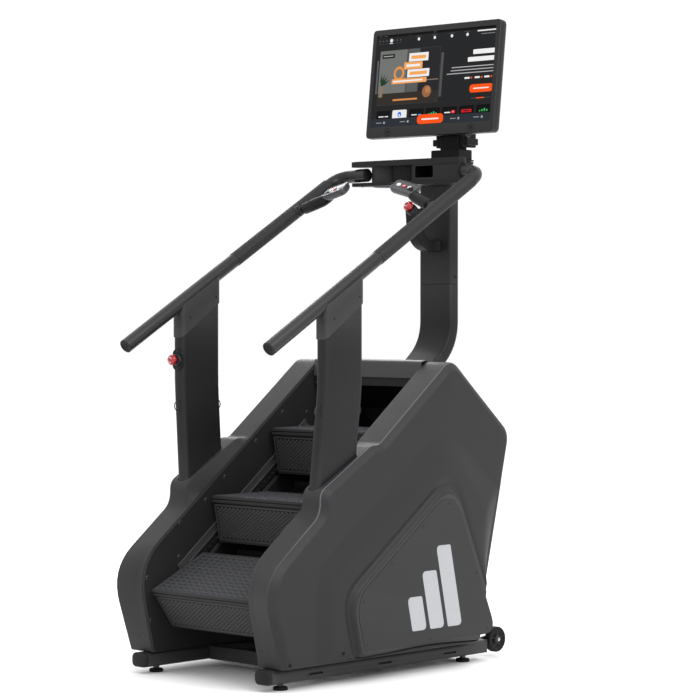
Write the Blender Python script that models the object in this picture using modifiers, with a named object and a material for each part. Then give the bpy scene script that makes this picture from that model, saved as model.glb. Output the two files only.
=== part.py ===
"""Stair climber: an escalator-style gym machine with a short flight of moving steps.

Metres, +Z up.  The origin is at the centre of the footprint, on the floor.
The climber faces +Y, towards the console; +X is the climber's right-hand side.
"""
import math

import bmesh
import bpy
from mathutils import Matrix, Vector

GAP = 0.0003

# Steps and the chain loop that carries them
STEP_RISE = 0.203
STEP_GOING = 0.262
STEP_HALF_WIDTH = 0.2215
TREAD_DEPTH = 0.240
TREAD_THICKNESS = 0.022
RISER_HEIGHT = 0.1475
RISER_SETBACK = 0.0285
AXLE_BEHIND_NOSE = 0.1558
AXLE_BELOW_TREAD = 0.035
AXLE_RADIUS = 0.009
INCLINE = math.atan2(STEP_RISE, STEP_GOING)
PITCH = math.hypot(STEP_RISE, STEP_GOING)
SPROCKET_RADIUS = PITCH / (2.0 * math.pi)
CHAIN_RUN = 2.0 * PITCH
LOWER_SHAFT = (-0.3733, 0.2734)
FIRST_STEP_TURN = math.radians(25.0)
CHAIN_X = 0.2270
CHAIN_WIDTH = 0.0070
CHAIN_OUTER = 0.0045
CHAIN_INNER = 0.0035
UPPER_SHAFT = (LOWER_SHAFT[0] + 2.0 * STEP_GOING, LOWER_SHAFT[1] + 2.0 * STEP_RISE)

# Shafts, belt drive and generator
SHAFT_RADIUS = 0.0125
SHAFT_REACH = 0.266
HUB_RADIUS = 0.0140
HUB_LENGTH = 0.010
SPROCKET_THICKNESS = 0.005
SPROCKET_CLEARANCE = 0.0042
BEARING_RADIUS = 0.032
BEARING_WIDTH = 0.018
DRIVE_PULLEY_RADIUS = 0.084
GENERATOR_AT = (0.185, 0.215)
GENERATOR_RADIUS = 0.080
GENERATOR_LENGTH = 0.080
GENERATOR_PULLEY_RADIUS = 0.028
GENERATOR_SHAFT_RADIUS = 0.008
BELT_X = 0.284
BELT_WIDTH = 0.020
BELT_THICKNESS = 0.003
BELT_SLACK = 0.0012
INLET_PLACE = (0.120, 0.3605, 0.043)

# Frame
RAIL_X = 0.271
RAIL_WIDTH = 0.066
RAIL_BOTTOM = 0.0205
RAIL_TOP = 0.0655
RAIL_FRONT = -0.573
RAIL_REAR = 0.392
RAIL_WALL = 0.003
RAIL_CAP_LENGTH = 0.012
CROSS_TUBES = (("cross_tube_front", -0.290, 0.050), ("cross_tube_rear", 0.330, 0.040))
PLATE_X = 0.2375
PLATE_THICKNESS = 0.004
FOOT_X = 0.273
FOOT_FRONT_Y = -0.510
FOOT_REAR_Y = 0.310
FOOT_RADIUS = 0.022
WHEEL_X = 0.271
WHEEL_Y = 0.4707
WHEEL_Z = 0.0562
WHEEL_RADIUS = 0.041

# Covers
COVER_INNER_X = 0.2345
COLLAR_X = 0.2560
CREASE_X = 0.3300
SHOULDER_X = 0.3500
BOSS_FOOT_X = 0.3560
BOSS_TOP_X = 0.3828
COVER_THICKNESS = 0.003
PANEL_THICKNESS = 0.0022
PANEL_CORNERS = [(-0.262, 0.098, 0.016), (-0.302, 0.256, 0.072), (0.140, 0.577, 0.105),
                 (0.345, 0.100, 0.060)]
KNEE_INNER_Y = -0.6244
KNEE_CREASE_Y = -0.64715
COVER_ARC_STEPS = 5
COVER_FOOT_PARTS = 16
COVER_BOTTOM = 0.067
RIM_SLOPE = STEP_RISE / STEP_GOING
RIM_AT_ORIGIN = 0.825
REAR_SLOPE = -0.860
REAR_SLOPE_AT_ORIGIN = 1.1325
REAR_LEAN = 0.2395
REAR_AT_FLOOR = 0.2921
LIP_Y = 0.150
LIP_BOTTOM = 0.906
PEAK_Y = (REAR_SLOPE_AT_ORIGIN - RIM_AT_ORIGIN) / (RIM_SLOPE - REAR_SLOPE)
REAR_CORNER_Y = (REAR_AT_FLOOR + REAR_LEAN * REAR_SLOPE_AT_ORIGIN) / (1.0 - REAR_LEAN * REAR_SLOPE)

# Posts and handrails
HANDRAIL_X = 0.314
HANDRAIL_RADIUS = 0.022
HANDRAIL_END = (-0.598, 1.010)
HANDRAIL_SLOPE = 0.5813
HANDRAIL_CORNER_Y = 0.352
HANDRAIL_INNER_X = {-1: 0.1840, 1: 0.2403}
HANDRAIL_INNER_Z = 1.566
POST_DEPTH = 0.163
POST_WIDTH = 0.045
POST_CENTRE_Y = -0.299
POST_BEND_Z = 0.886
POST_FOOT_Z = 0.470
POST_LEAN = (-0.026, -0.008)
CAP_WALL = 0.003
CAP_DROP = 0.092
CAP_LOW_SLOPE = 0.675

# Hand grips, control pods and stop buttons
GRIP_RADIUS = 0.0165
GRIP_ROOT_Y = 0.136
GRIP_TIP = (0.190, 0.166, 1.481)
POD_CENTRE = (0.152, 0.172, 1.503)
POD_SIZE = (0.098, 0.052, 0.026)
POD_TURN = (math.radians(34.0), math.radians(14.0))
BUTTON_NAMES = ("speed_up_button", "stop_button", "speed_down_button")
BUTTON_OFFSETS = (-0.026, -0.002, 0.022)
BUTTON_POCKET_RADIUS = 0.0078
ESTOP_COLLAR_RADIUS = 0.019
ESTOP_BORE_RADIUS = 0.0100
ESTOP_STEM = 0.010
ESTOP_POST_Y = POST_CENTRE_Y - POST_DEPTH / 2.0
ESTOP_POST_Z = 0.965
ESTOP_ARM_FACE = Vector((0.0, 0.3800, 1.4390))
ESTOP_ARM_HEADING = Vector((0.0, -0.800, 0.600)).normalized()
ESTOP_SEAT = ESTOP_ARM_FACE + ESTOP_ARM_HEADING * 0.018
ESTOP_ARM_SECTION = (0.050, 0.036, 0.008)
ESTOP_ARM_Z = 1.330

# Mast, console and screen
MAST_WIDTH = 0.140
MAST_DEPTH = 0.043
MAST_Y = 0.5035
MAST_BEND_Z = 1.010
MAST_SEAM_Z = 1.205
MAST_TOP_Z = 1.5275
MAST_FOOT_RUN = 0.2600
MAST_BEND = 0.075
MAST_UP = Vector((0.0, 0.760, 0.650)).normalized()
MAST_CORNER = Vector((0.0, MAST_Y, MAST_BEND_Z))
MAST_FOOT = MAST_CORNER - MAST_UP * MAST_FOOT_RUN
TRAY_BOTTOM = 1.528
TRAY_TOP = 1.611
TRAY_HALF_WIDTH = 0.240
TRAY_FRONT_Y = 0.331
TRAY_REAR_Y = 0.600
TRAY_NECK_HALF_WIDTH = 0.070
TRAY_TOP_THICKNESS = 0.019
TRAY_FLOOR_THICKNESS = 0.012
CUP_CENTRE = (-0.135, 0.398)
CUP_RADIUS = 0.052
CUP_BORE = 0.040
POCKET_SIZE = (0.080, 0.090, 0.040)
POCKET_CENTRE = (0.0845, TRAY_FRONT_Y + 0.030, 1.568)
SCREEN_HALF_WIDTH = 0.281
SCREEN_HEIGHT = 0.369
SCREEN_THICKNESS = 0.037
SCREEN_TILT = math.radians(6.4)
SCREEN_BOTTOM = (0.4465, 1.694)
HINGE_Y = 0.575
HINGE_Z = 1.672
DISPLAY_SIZE = (0.526, 0.312)
DISPLAY_MIDDLE = 0.1935
DISPLAY_RECESS = 0.0022

# Looks: base colour, roughness and metallic share
BLACK_PAINT = ((0.020, 0.020, 0.022), 0.45, 0.0)
COVER_PLASTIC = ((0.030, 0.031, 0.034), 0.50, 0.0)
DARK_PLASTIC = ((0.015, 0.015, 0.016), 0.60, 0.0)
RUBBER = ((0.012, 0.012, 0.012), 0.80, 0.0)
STEEL = ((0.450, 0.450, 0.460), 0.35, 1.0)
CAST_METAL = ((0.160, 0.165, 0.175), 0.55, 0.8)
RED_PLASTIC = ((0.600, 0.010, 0.015), 0.30, 0.0)
WHITE_PLASTIC = ((0.700, 0.700, 0.720), 0.40, 0.0)
SCREEN_GLASS = ((0.005, 0.005, 0.007), 0.08, 0.0)


# ---------------------------------------------------------------- tools

def clear_scene():
    for old in list(bpy.data.objects):
        bpy.data.objects.remove(old, do_unlink=True)


def new_collection(name):
    collection = bpy.data.collections.new(name)
    bpy.context.scene.collection.children.link(collection)
    return collection


def material_for(name, look):
    colour, roughness, metallic = look
    material = bpy.data.materials.new(name)
    material.use_nodes = True
    shader = material.node_tree.nodes["Principled BSDF"]
    shader.inputs["Base Color"].default_value = (*colour, 1.0)
    shader.inputs["Roughness"].default_value = roughness
    shader.inputs["Metallic"].default_value = metallic
    return material


def add_object(name, mesh, look):
    """Link a mesh as a sub-part, or as a hidden cutter when it has no look."""
    mesh.shade_smooth()
    mesh.set_sharp_from_angle(angle=math.radians(35.0))
    part = bpy.data.objects.new(name, mesh)
    if look is None:
        part.hide_render = True
        part.display_type = "WIRE"
        cutters.objects.link(part)
    else:
        mesh.materials.append(material_for(name, look))
        parts.objects.link(part)
    return part


def mesh_from(name, bm):
    bmesh.ops.recalc_face_normals(bm, faces=bm.faces)
    mesh = bpy.data.meshes.new(name)
    bm.to_mesh(mesh)
    bm.free()
    return mesh


def mesh_from_curve(curve, matrix):
    """Turn a curve into one welded mesh, so that its caps belong to it."""
    holder = bpy.data.objects.new(curve.name, curve)
    bpy.context.scene.collection.objects.link(holder)
    holder.matrix_world = matrix
    bpy.context.view_layer.update()
    evaluated = holder.evaluated_get(bpy.context.evaluated_depsgraph_get())
    mesh = bpy.data.meshes.new_from_object(evaluated)
    mesh.transform(matrix)
    bpy.data.objects.remove(holder)
    bm = bmesh.new()
    bm.from_mesh(mesh)
    bmesh.ops.remove_doubles(bm, verts=bm.verts, dist=0.00002)
    bmesh.ops.recalc_face_normals(bm, faces=bm.faces)
    bm.to_mesh(mesh)
    bm.free()
    return mesh


def bevel(part, width, segments=2):
    modifier = part.modifiers.new("Bevel", "BEVEL")
    modifier.width = width
    modifier.segments = segments
    modifier.limit_method = "ANGLE"
    modifier.angle_limit = math.radians(40.0)
    return part


def boolean(part, operand, operation):
    modifier = part.modifiers.new(operation.title(), "BOOLEAN")
    modifier.operation = operation
    modifier.object = operand
    modifier.solver = "EXACT"
    return part


def box(name, size, centre, look, turn_x=0.0):
    """A block of the given size, turned about its own X axis."""
    bm = bmesh.new()
    bmesh.ops.create_cube(bm, size=1.0)
    bmesh.ops.scale(bm, vec=size, verts=bm.verts)
    part = add_object(name, mesh_from(name, bm), look)
    part.location = centre
    part.rotation_euler.x = turn_x
    return part


def cylinders(name, radius, height, matrices, look, sides=16):
    """Several separate discs or rods, each centred on its matrix, along its Z."""
    bm = bmesh.new()
    for matrix in matrices:
        bmesh.ops.create_cone(
            bm, cap_ends=True, segments=sides, radius1=radius, radius2=radius,
            depth=height, matrix=matrix)
    return add_object(name, mesh_from(name, bm), look)


def turned(name, profile, look, sides=24):
    """Spin a profile of (radius, height) points about Z; the outer side runs downwards."""
    mesh = bpy.data.meshes.new(name)
    points = [(radius, 0.0, height) for radius, height in profile]
    edges = [(i, i + 1) for i in range(len(points) - 1)]
    if profile[0][0] > 0.0:
        edges.append((len(points) - 1, 0))
    mesh.from_pydata(points, edges, [])
    part = add_object(name, mesh, look)
    screw = part.modifiers.new("Screw", "SCREW")
    screw.axis = "Z"
    screw.angle = math.tau
    screw.steps = sides
    screw.render_steps = sides
    screw.use_merge_vertices = True
    screw.merge_threshold = 0.00001
    screw.use_smooth_shade = True
    return part


def plate(name, outlines, thickness, matrix, look):
    """A flat outline, with any holes, thickened evenly about its plane."""
    curve = bpy.data.curves.new(name, "CURVE")
    curve.dimensions = "2D"
    curve.fill_mode = "BOTH"
    curve.extrude = thickness / 2.0
    for outline in outlines:
        spline = curve.splines.new("POLY")
        spline.points.add(len(outline) - 1)
        for point, (u, v) in zip(spline.points, outline):
            point.co = (u, v, 0.0, 1.0)
        spline.use_cyclic_u = True
    return add_object(name, mesh_from_curve(curve, matrix), look)


def prism(name, outline, thickness, matrix, look):
    """A plain outline pushed through its plane by half the thickness each way."""
    bm = bmesh.new()
    base = [bm.verts.new(matrix @ Vector((u, v, -thickness / 2.0))) for u, v in outline]
    face = bm.faces.new(base)
    pushed = bmesh.ops.extrude_face_region(bm, geom=[face])
    lift = matrix.to_3x3() @ Vector((0.0, 0.0, thickness))
    moved = [item for item in pushed["geom"] if isinstance(item, bmesh.types.BMVert)]
    bmesh.ops.translate(bm, vec=lift, verts=moved)
    return add_object(name, mesh_from(name, bm), look)


def tube(name, points, radius, look, sides_level=4):
    """A round bar along a path, with its ends filled."""
    curve = bpy.data.curves.new(name, "CURVE")
    curve.dimensions = "3D"
    curve.bevel_depth = radius
    curve.bevel_resolution = sides_level
    curve.use_fill_caps = True
    spline = curve.splines.new("POLY")
    spline.points.add(len(points) - 1)
    for point, place in zip(spline.points, points):
        point.co = (*place, 1.0)
    return add_object(name, mesh_from_curve(curve, Matrix.Identity(4)), look)


def loft(name, rings, look, open_from=None, open_bands=0, close_start=True, close_end=True):
    """Skin a row of rings that all have the same number of points.

    The first `open_bands` bands have no faces from point `open_from` of the ring on.
    """
    bm = bmesh.new()
    rows = [[bm.verts.new(point) for point in ring] for ring in rings]
    count = len(rows[0])
    for band, (lower, upper) in enumerate(zip(rows, rows[1:])):
        sides = open_from if band < open_bands else count
        for i in range(sides):
            j = (i + 1) % count
            bm.faces.new((lower[i], lower[j], upper[j], upper[i]))
    loose = [vert for vert in bm.verts if not vert.link_faces]
    bmesh.ops.delete(bm, geom=loose, context="VERTS")
    bm.verts.ensure_lookup_table()
    if close_start:
        bm.faces.new(rows[0])
    if close_end:
        bm.faces.new(rows[-1])
    return add_object(name, mesh_from(name, bm), look)


def solidify(part, thickness, offset=-1.0):
    modifier = part.modifiers.new("Solidify", "SOLIDIFY")
    modifier.thickness = thickness
    modifier.offset = offset
    return part


def rounded(corners, arc_steps=4):
    """Round each (u, v, length) corner with a curve that starts `length` before it."""
    points = []
    for i, (u, v, length) in enumerate(corners):
        corner = Vector((u, v))
        before = Vector(corners[i - 1][:2]) - corner
        after = Vector(corners[(i + 1) % len(corners)][:2]) - corner
        start = corner + before.normalized() * length
        end = corner + after.normalized() * length
        for k in range(arc_steps + 1):
            t = k / arc_steps
            points.append(start * (1 - t) ** 2 + corner * 2 * t * (1 - t) + end * t ** 2)
    return points


def offset_corners(corners, distance):
    """Move every corner of a clockwise outline inwards by the same distance."""
    moved = []
    for i, (u, v, length) in enumerate(corners):
        corner = Vector((u, v))
        back = (corner - Vector(corners[i - 1][:2])).normalized()
        ahead = (Vector(corners[(i + 1) % len(corners)][:2]) - corner).normalized()
        normal_a = Vector((back.y, -back.x))
        normal_b = Vector((ahead.y, -ahead.x))
        shift = (normal_a + normal_b) / (1.0 + normal_a.dot(normal_b))
        place = corner + shift * distance
        moved.append((place.x, place.y, length))
    return moved


def rectangle(width, height, radius=0.0, arc_steps=3):
    """A centred rectangle, with its corners rounded where a radius is given."""
    w = width / 2.0
    h = height / 2.0
    corners = [(-w, -h), (-w, h), (w, h), (w, -h)]
    if radius == 0.0:
        return [Vector(corner) for corner in corners]
    return rounded([(u, v, radius) for u, v in corners], arc_steps)


def circle(centre, radius, sides=24):
    return [
        Vector((centre[0] + radius * math.cos(math.tau * i / sides),
                centre[1] + radius * math.sin(math.tau * i / sides)))
        for i in range(sides)]


def side_plane(x):
    """Matrix that lays an outline of (y, z) points on the plane at this x."""
    return Matrix(((0, 0, 1, x), (1, 0, 0, 0), (0, 1, 0, 0), (0, 0, 0, 1)))


def front_plane(y):
    """Matrix that lays an outline of (x, z) points on the plane at this y."""
    return Matrix(((1, 0, 0, 0), (0, 0, -1, y), (0, 1, 0, 0), (0, 0, 0, 1)))


def floor_plane(z):
    return Matrix.Translation((0.0, 0.0, z))


def along_x(x, y, z):
    """Matrix of a disc or rod whose axis lies along X."""
    return Matrix.Translation((x, y, z)) @ Matrix.Rotation(math.radians(90.0), 4, "Y")


def lay_along_x(part, place):
    part.location = place
    part.rotation_euler.y = math.radians(90.0)
    return part


def side_name(side):
    return "right" if side > 0 else "left"


def up_incline(start, distance):
    """Point (y, z) reached by going this far up the incline."""
    return (start[0] + distance * math.cos(INCLINE), start[1] + distance * math.sin(INCLINE))


def handrail_z(y):
    return HANDRAIL_END[1] + HANDRAIL_SLOPE * (y - HANDRAIL_END[0])


# ---------------------------------------------------------------- base

def make_base():
    outer = rectangle(RAIL_WIDTH, RAIL_TOP - RAIL_BOTTOM, 0.016)
    inner = rectangle(RAIL_WIDTH - 2 * RAIL_WALL, RAIL_TOP - RAIL_BOTTOM - 2 * RAIL_WALL, 0.014)
    rail_z = (RAIL_TOP + RAIL_BOTTOM) / 2.0
    rail_length = RAIL_REAR - RAIL_FRONT
    rail_y = (RAIL_REAR + RAIL_FRONT) / 2.0
    foot_places = [(side * FOOT_X, y) for side in (-1, 1) for y in (FOOT_FRONT_Y, FOOT_REAR_Y)]
    holes = cylinders(
        "foot_holes", 0.0075, 0.02,
        [Matrix.Translation((x, y, RAIL_BOTTOM)) for x, y in foot_places], None)
    for side in (-1, 1):
        matrix = front_plane(rail_y) @ Matrix.Translation((side * RAIL_X, rail_z, 0.0))
        rail = plate("base_rail_" + side_name(side), [outer, inner], rail_length, matrix,
                     BLACK_PAINT)
        boolean(rail, holes, "DIFFERENCE")
        add_wheel_bracket(rail, side)
    tube_height = RAIL_TOP - RAIL_BOTTOM - 0.004
    for name, y, width in CROSS_TUBES:
        length = 2.0 * (RAIL_X - RAIL_WIDTH / 2.0 - GAP)
        hollow = rectangle(width - 2 * RAIL_WALL, tube_height - 2 * RAIL_WALL)
        shell = rectangle(width, tube_height)
        matrix = side_plane(0.0) @ Matrix.Translation((y, rail_z, 0.0))
        plate(name, [shell, hollow], length, matrix, BLACK_PAINT)
    cap_size = (RAIL_WIDTH, RAIL_CAP_LENGTH, RAIL_TOP - RAIL_BOTTOM)
    for side in (-1, 1):
        cap = box("rail_end_cap_" + side_name(side), cap_size,
                  (side * RAIL_X, RAIL_FRONT - RAIL_CAP_LENGTH / 2.0 - GAP, rail_z), DARK_PLASTIC)
        bevel(cap, 0.006, 3)
    names = {(-1, FOOT_FRONT_Y): "foot_front_left", (-1, FOOT_REAR_Y): "foot_rear_left",
             (1, FOOT_FRONT_Y): "foot_front_right", (1, FOOT_REAR_Y): "foot_rear_right"}
    for (side, y), name in names.items():
        profile = [(0.0, 0.052), (0.006, 0.052), (0.006, 0.018), (0.009, 0.018), (0.009, 0.013),
                   (0.020, 0.011), (FOOT_RADIUS, 0.008), (FOOT_RADIUS, 0.001),
                   (FOOT_RADIUS - 0.001, 0.0), (0.0, 0.0)]
        turned(name, profile, RUBBER, 20).location = (side * FOOT_X, y, 0.0)


def add_wheel_bracket(rail, side):
    """Weld the wheel's end plate, arm and axle pin to the back of a base rail."""
    name = side_name(side)
    rail_z = (RAIL_TOP + RAIL_BOTTOM) / 2.0
    overlap = 0.002
    plate_y = RAIL_REAR + 0.003 - overlap
    end_plate = box("wheel_end_plate_" + name, (RAIL_WIDTH - 0.004, 0.006, 0.041),
                    (side * RAIL_X, plate_y, rail_z), None)
    arm_end = WHEEL_Y + 0.016
    arm = box("wheel_arm_" + name, (0.006, arm_end - plate_y, 0.034),
              (side * (WHEEL_X - 0.0175), (arm_end + plate_y) / 2.0, 0.0455), None)
    pin = cylinders("wheel_pin_" + name, 0.006, 0.036,
                    [along_x(side * (WHEEL_X + 0.0005), WHEEL_Y, WHEEL_Z)], None)
    for piece in (end_plate, arm, pin):
        boolean(rail, piece, "UNION")


def make_transport_wheels():
    for side in (-1, 1):
        profile = [(0.0063, 0.012), (0.014, 0.012), (0.014, 0.008), (0.030, 0.008),
                   (0.033, 0.011), (WHEEL_RADIUS - 0.002, 0.011), (WHEEL_RADIUS, 0.008),
                   (WHEEL_RADIUS, -0.008), (WHEEL_RADIUS - 0.002, -0.011), (0.033, -0.011),
                   (0.030, -0.008), (0.014, -0.008), (0.014, -0.012), (0.0063, -0.012)]
        wheel = turned("transport_wheel_" + side_name(side), profile, RUBBER, 28)
        lay_along_x(wheel, (side * (WHEEL_X + 0.001), WHEEL_Y, WHEEL_Z))


# ---------------------------------------------------------------- covers

def rim_z(y):
    return RIM_AT_ORIGIN + RIM_SLOPE * y


def rear_slope_z(y):
    return REAR_SLOPE_AT_ORIGIN + REAR_SLOPE * y


def rear_y(z):
    return REAR_AT_FLOOR + REAR_LEAN * z


def cover_corners(knee_y, with_collar):
    """Side cover outline, clockwise seen from +X: leg, rim, collar, peak and rear edge."""
    front = [(-0.562, COVER_BOTTOM, 0.006), (knee_y, rim_z(knee_y), 0.110)]
    if with_collar:
        collar = [(-0.400, rim_z(-0.400), 0.035), (-0.3995, 0.583, 0.024),
                  (-0.1785, 0.713, 0.014), (-0.1446, 0.713, 0.012)]
    else:
        collar = [(-0.400, rim_z(-0.400), 0.035), (-0.350, rim_z(-0.350), 0.012),
                  (-0.190, rim_z(-0.190), 0.012), (-0.1446, rim_z(-0.1446), 0.012)]
    rear = [(PEAK_Y, rim_z(PEAK_Y), 0.040), (REAR_CORNER_Y, rear_slope_z(REAR_CORNER_Y), 0.034),
            (rear_y(COVER_BOTTOM), COVER_BOTTOM, 0.006)]
    return front + collar + rear


def ray_to_outline(outline, centre, direction):
    """Where a ray from inside a closed outline leaves it."""
    best = None
    for a, b in zip(outline, outline[1:] + outline[:1]):
        edge = b - a
        turn = direction.x * edge.y - direction.y * edge.x
        if abs(turn) < 1e-9:
            continue
        gap = a - centre
        distance = (gap.x * edge.y - gap.y * edge.x) / turn
        share = (gap.x * direction.y - gap.y * direction.x) / turn
        if distance > 0.0 and -1e-6 <= share <= 1.0 + 1e-6:
            best = distance if best is None else max(best, distance)
    return centre + direction * best


def boss_ring(outer_ring, grow):
    """The access panel's outline, grown, with a point for each point of the outer ring."""
    centre = Vector((0.04, 0.26))
    outline = rounded(offset_corners(PANEL_CORNERS, -grow), 6)
    ring = [ray_to_outline(outline, centre, (point - centre).normalized())
            for point in outer_ring]
    lowest = COVER_BOTTOM + 0.004 + 0.3 * (0.040 - grow)
    return [Vector((place.x, max(place.y, lowest))) for place in ring]


def shoulder_corners(crease_corners, distance):
    """The crease outline moved inwards, with its foot kept just above the cover's edge."""
    moved = offset_corners(crease_corners, distance)
    foot_z = COVER_BOTTOM + 0.003
    moved[0] = (crease_corners[0][0] + distance, foot_z, 0.006)
    moved[-1] = (crease_corners[-1][0] - distance, foot_z, 0.006)
    return moved


def post_ring(y_shift, x_shift, z_middle, slope, grow, side):
    """Flat-oval section of a post, cut on a slant along Y."""
    section = rectangle(POST_WIDTH + 2 * grow, POST_DEPTH + 2 * grow, 0.017 + grow, 4)
    return [
        Vector((side * (HANDRAIL_X + x_shift) + point.x, POST_CENTRE_Y + y_shift + point.y,
                z_middle + slope * point.y))
        for point in section]


def post_rings(side, grow, bottom_z, top_z, top_slope):
    """Sections of a post from its foot, leaning inwards, to its bend and its slanted top."""
    share = (POST_BEND_Z - bottom_z) / (POST_BEND_Z - 0.60)
    foot = post_ring(POST_LEAN[1] * share, POST_LEAN[0] * share, bottom_z, 0.0, grow, side)
    bend = post_ring(0.0, 0.0, POST_BEND_Z, 0.0, grow, side)
    top = post_ring(0.0, 0.0, top_z, top_slope, grow, side)
    return [foot, bend, top]


def footed_ring(corners):
    """A cover outline whose long bottom edge is divided, so that the boss can meet it."""
    points = rounded(corners, COVER_ARC_STEPS)
    foot = [points[-1].lerp(points[0], k / COVER_FOOT_PARTS) for k in range(1, COVER_FOOT_PARTS)]
    return points + foot


def make_side_cover(side):
    inner = footed_ring(cover_corners(KNEE_INNER_Y, False))
    collar = footed_ring(cover_corners(KNEE_INNER_Y - 0.003, True))
    crease_corners = cover_corners(KNEE_CREASE_Y, True)
    crease = footed_ring(crease_corners)
    shoulder = footed_ring(shoulder_corners(crease_corners, 0.020))
    layers = [(COVER_INNER_X, inner), (COLLAR_X, collar), (CREASE_X, crease),
              (SHOULDER_X, shoulder), (BOSS_FOOT_X, boss_ring(shoulder, 0.040)),
              (BOSS_TOP_X - 0.005, boss_ring(shoulder, 0.018)),
              (BOSS_TOP_X, boss_ring(shoulder, 0.012))]
    rings = [[Vector((side * x, p.x, p.y)) for p in ring] for x, ring in layers]
    cover = loft("side_cover_" + side_name(side), rings, COVER_PLASTIC,
                 open_from=len(inner) - COVER_FOOT_PARTS, open_bands=2, close_start=False)
    solidify(cover, COVER_THICKNESS)
    hole = loft("collar_hole_" + side_name(side),
                post_rings(side, 0.002, 0.500, 1.0, 0.0), None)
    boolean(cover, hole, "DIFFERENCE")
    panel_x = side * (BOSS_TOP_X + GAP + PANEL_THICKNESS / 2.0)
    plate("access_panel_" + side_name(side), [rounded(PANEL_CORNERS, 5)], PANEL_THICKNESS,
          side_plane(panel_x), COVER_PLASTIC)


def strip(name, points, half_width, look):
    """A bent sheet that follows (y, z) points, open at both ends, thickened inwards."""
    bm = bmesh.new()
    rows = [[bm.verts.new((x, y, z)) for y, z in points] for x in (-half_width, half_width)]
    for i in range(len(points) - 1):
        bm.faces.new((rows[0][i], rows[1][i], rows[1][i + 1], rows[0][i + 1]))
    part = add_object(name, mesh_from(name, bm), look)
    part.modifiers.new("Weld", "WELD").merge_threshold = 0.00001
    return solidify(part, COVER_THICKNESS)


def bend_points(before, corner, after, length, steps=4):
    """Points of a rounded bend at a corner between two places."""
    corner = Vector(corner)
    start = corner + (Vector(before) - corner).normalized() * length
    end = corner + (Vector(after) - corner).normalized() * length
    points = []
    for k in range(steps + 1):
        t = k / steps
        points.append(start * (1 - t) ** 2 + corner * 2 * t * (1 - t) + end * t ** 2)
    return points


def make_top_and_rear_covers():
    half_width = COVER_INNER_X - GAP
    lip_top = (LIP_Y + 0.004, rim_z(LIP_Y) + 0.018)
    peak = (PEAK_Y, rim_z(PEAK_Y) - 0.006)
    seam_y = REAR_CORNER_Y - 0.030
    seam = (seam_y, rear_slope_z(seam_y))
    lip = [(LIP_Y, LIP_BOTTOM)] + bend_points((LIP_Y, LIP_BOTTOM), lip_top, peak, 0.008, 3)
    crest = bend_points(lip_top, peak, seam, 0.014, 4)
    top = strip("top_cover", lip + crest + [seam], half_width, COVER_PLASTIC)
    hole = box("mast_hole", (MAST_WIDTH + 0.005, MAST_DEPTH + 0.005, 0.12), MAST_FOOT, None,
               math.atan2(-MAST_UP.y, MAST_UP.z))
    boolean(top, hole, "DIFFERENCE")
    start_y = seam_y + 0.0006
    start = (start_y, rear_slope_z(start_y))
    corner = (REAR_CORNER_Y, rear_slope_z(REAR_CORNER_Y))
    foot = (rear_y(COVER_BOTTOM + 0.01), COVER_BOTTOM + 0.01)
    bend = bend_points(start, corner, foot, 0.024, 5)
    strip("rear_cover", [start] + bend + [foot], half_width, COVER_PLASTIC)


def make_side_frame(side):
    """Steel side plate: its inner face is the wall beside the steps."""
    corners = offset_corners(cover_corners(KNEE_INNER_Y, False), 0.011)
    corners[0] = (corners[0][0], RAIL_TOP + GAP, 0.004)
    corners[-1] = (corners[-1][0], RAIL_TOP + GAP, 0.004)
    outlines = [rounded(corners, 5)]
    for centre in (LOWER_SHAFT, UPPER_SHAFT):
        outlines.append(circle(centre, SHAFT_RADIUS + 0.004, 16))
    if side > 0:
        outlines.append(circle(GENERATOR_AT, 0.014, 16))
    x = side * (PLATE_X + PLATE_THICKNESS / 2.0)
    plate("side_frame_" + side_name(side), outlines, PLATE_THICKNESS, side_plane(x), BLACK_PAINT)


# ---------------------------------------------------------------- drive

def belt_outline(centre_a, radius_a, centre_b, radius_b, sides=20):
    """Closed outline of a belt drawn tight round two circles."""
    a = Vector(centre_a)
    b = Vector(centre_b)
    line = b - a
    heading = math.atan2(line.y, line.x)
    spread = math.acos((radius_a - radius_b) / line.length)
    points = []
    for k in range(sides + 1):
        angle = heading + spread + (math.tau - 2 * spread) * k / sides
        points.append(a + Vector((math.cos(angle), math.sin(angle))) * radius_a)
    for k in range(sides + 1):
        angle = heading - spread + 2 * spread * k / sides
        points.append(b + Vector((math.cos(angle), math.sin(angle))) * radius_b)
    return points


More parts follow.
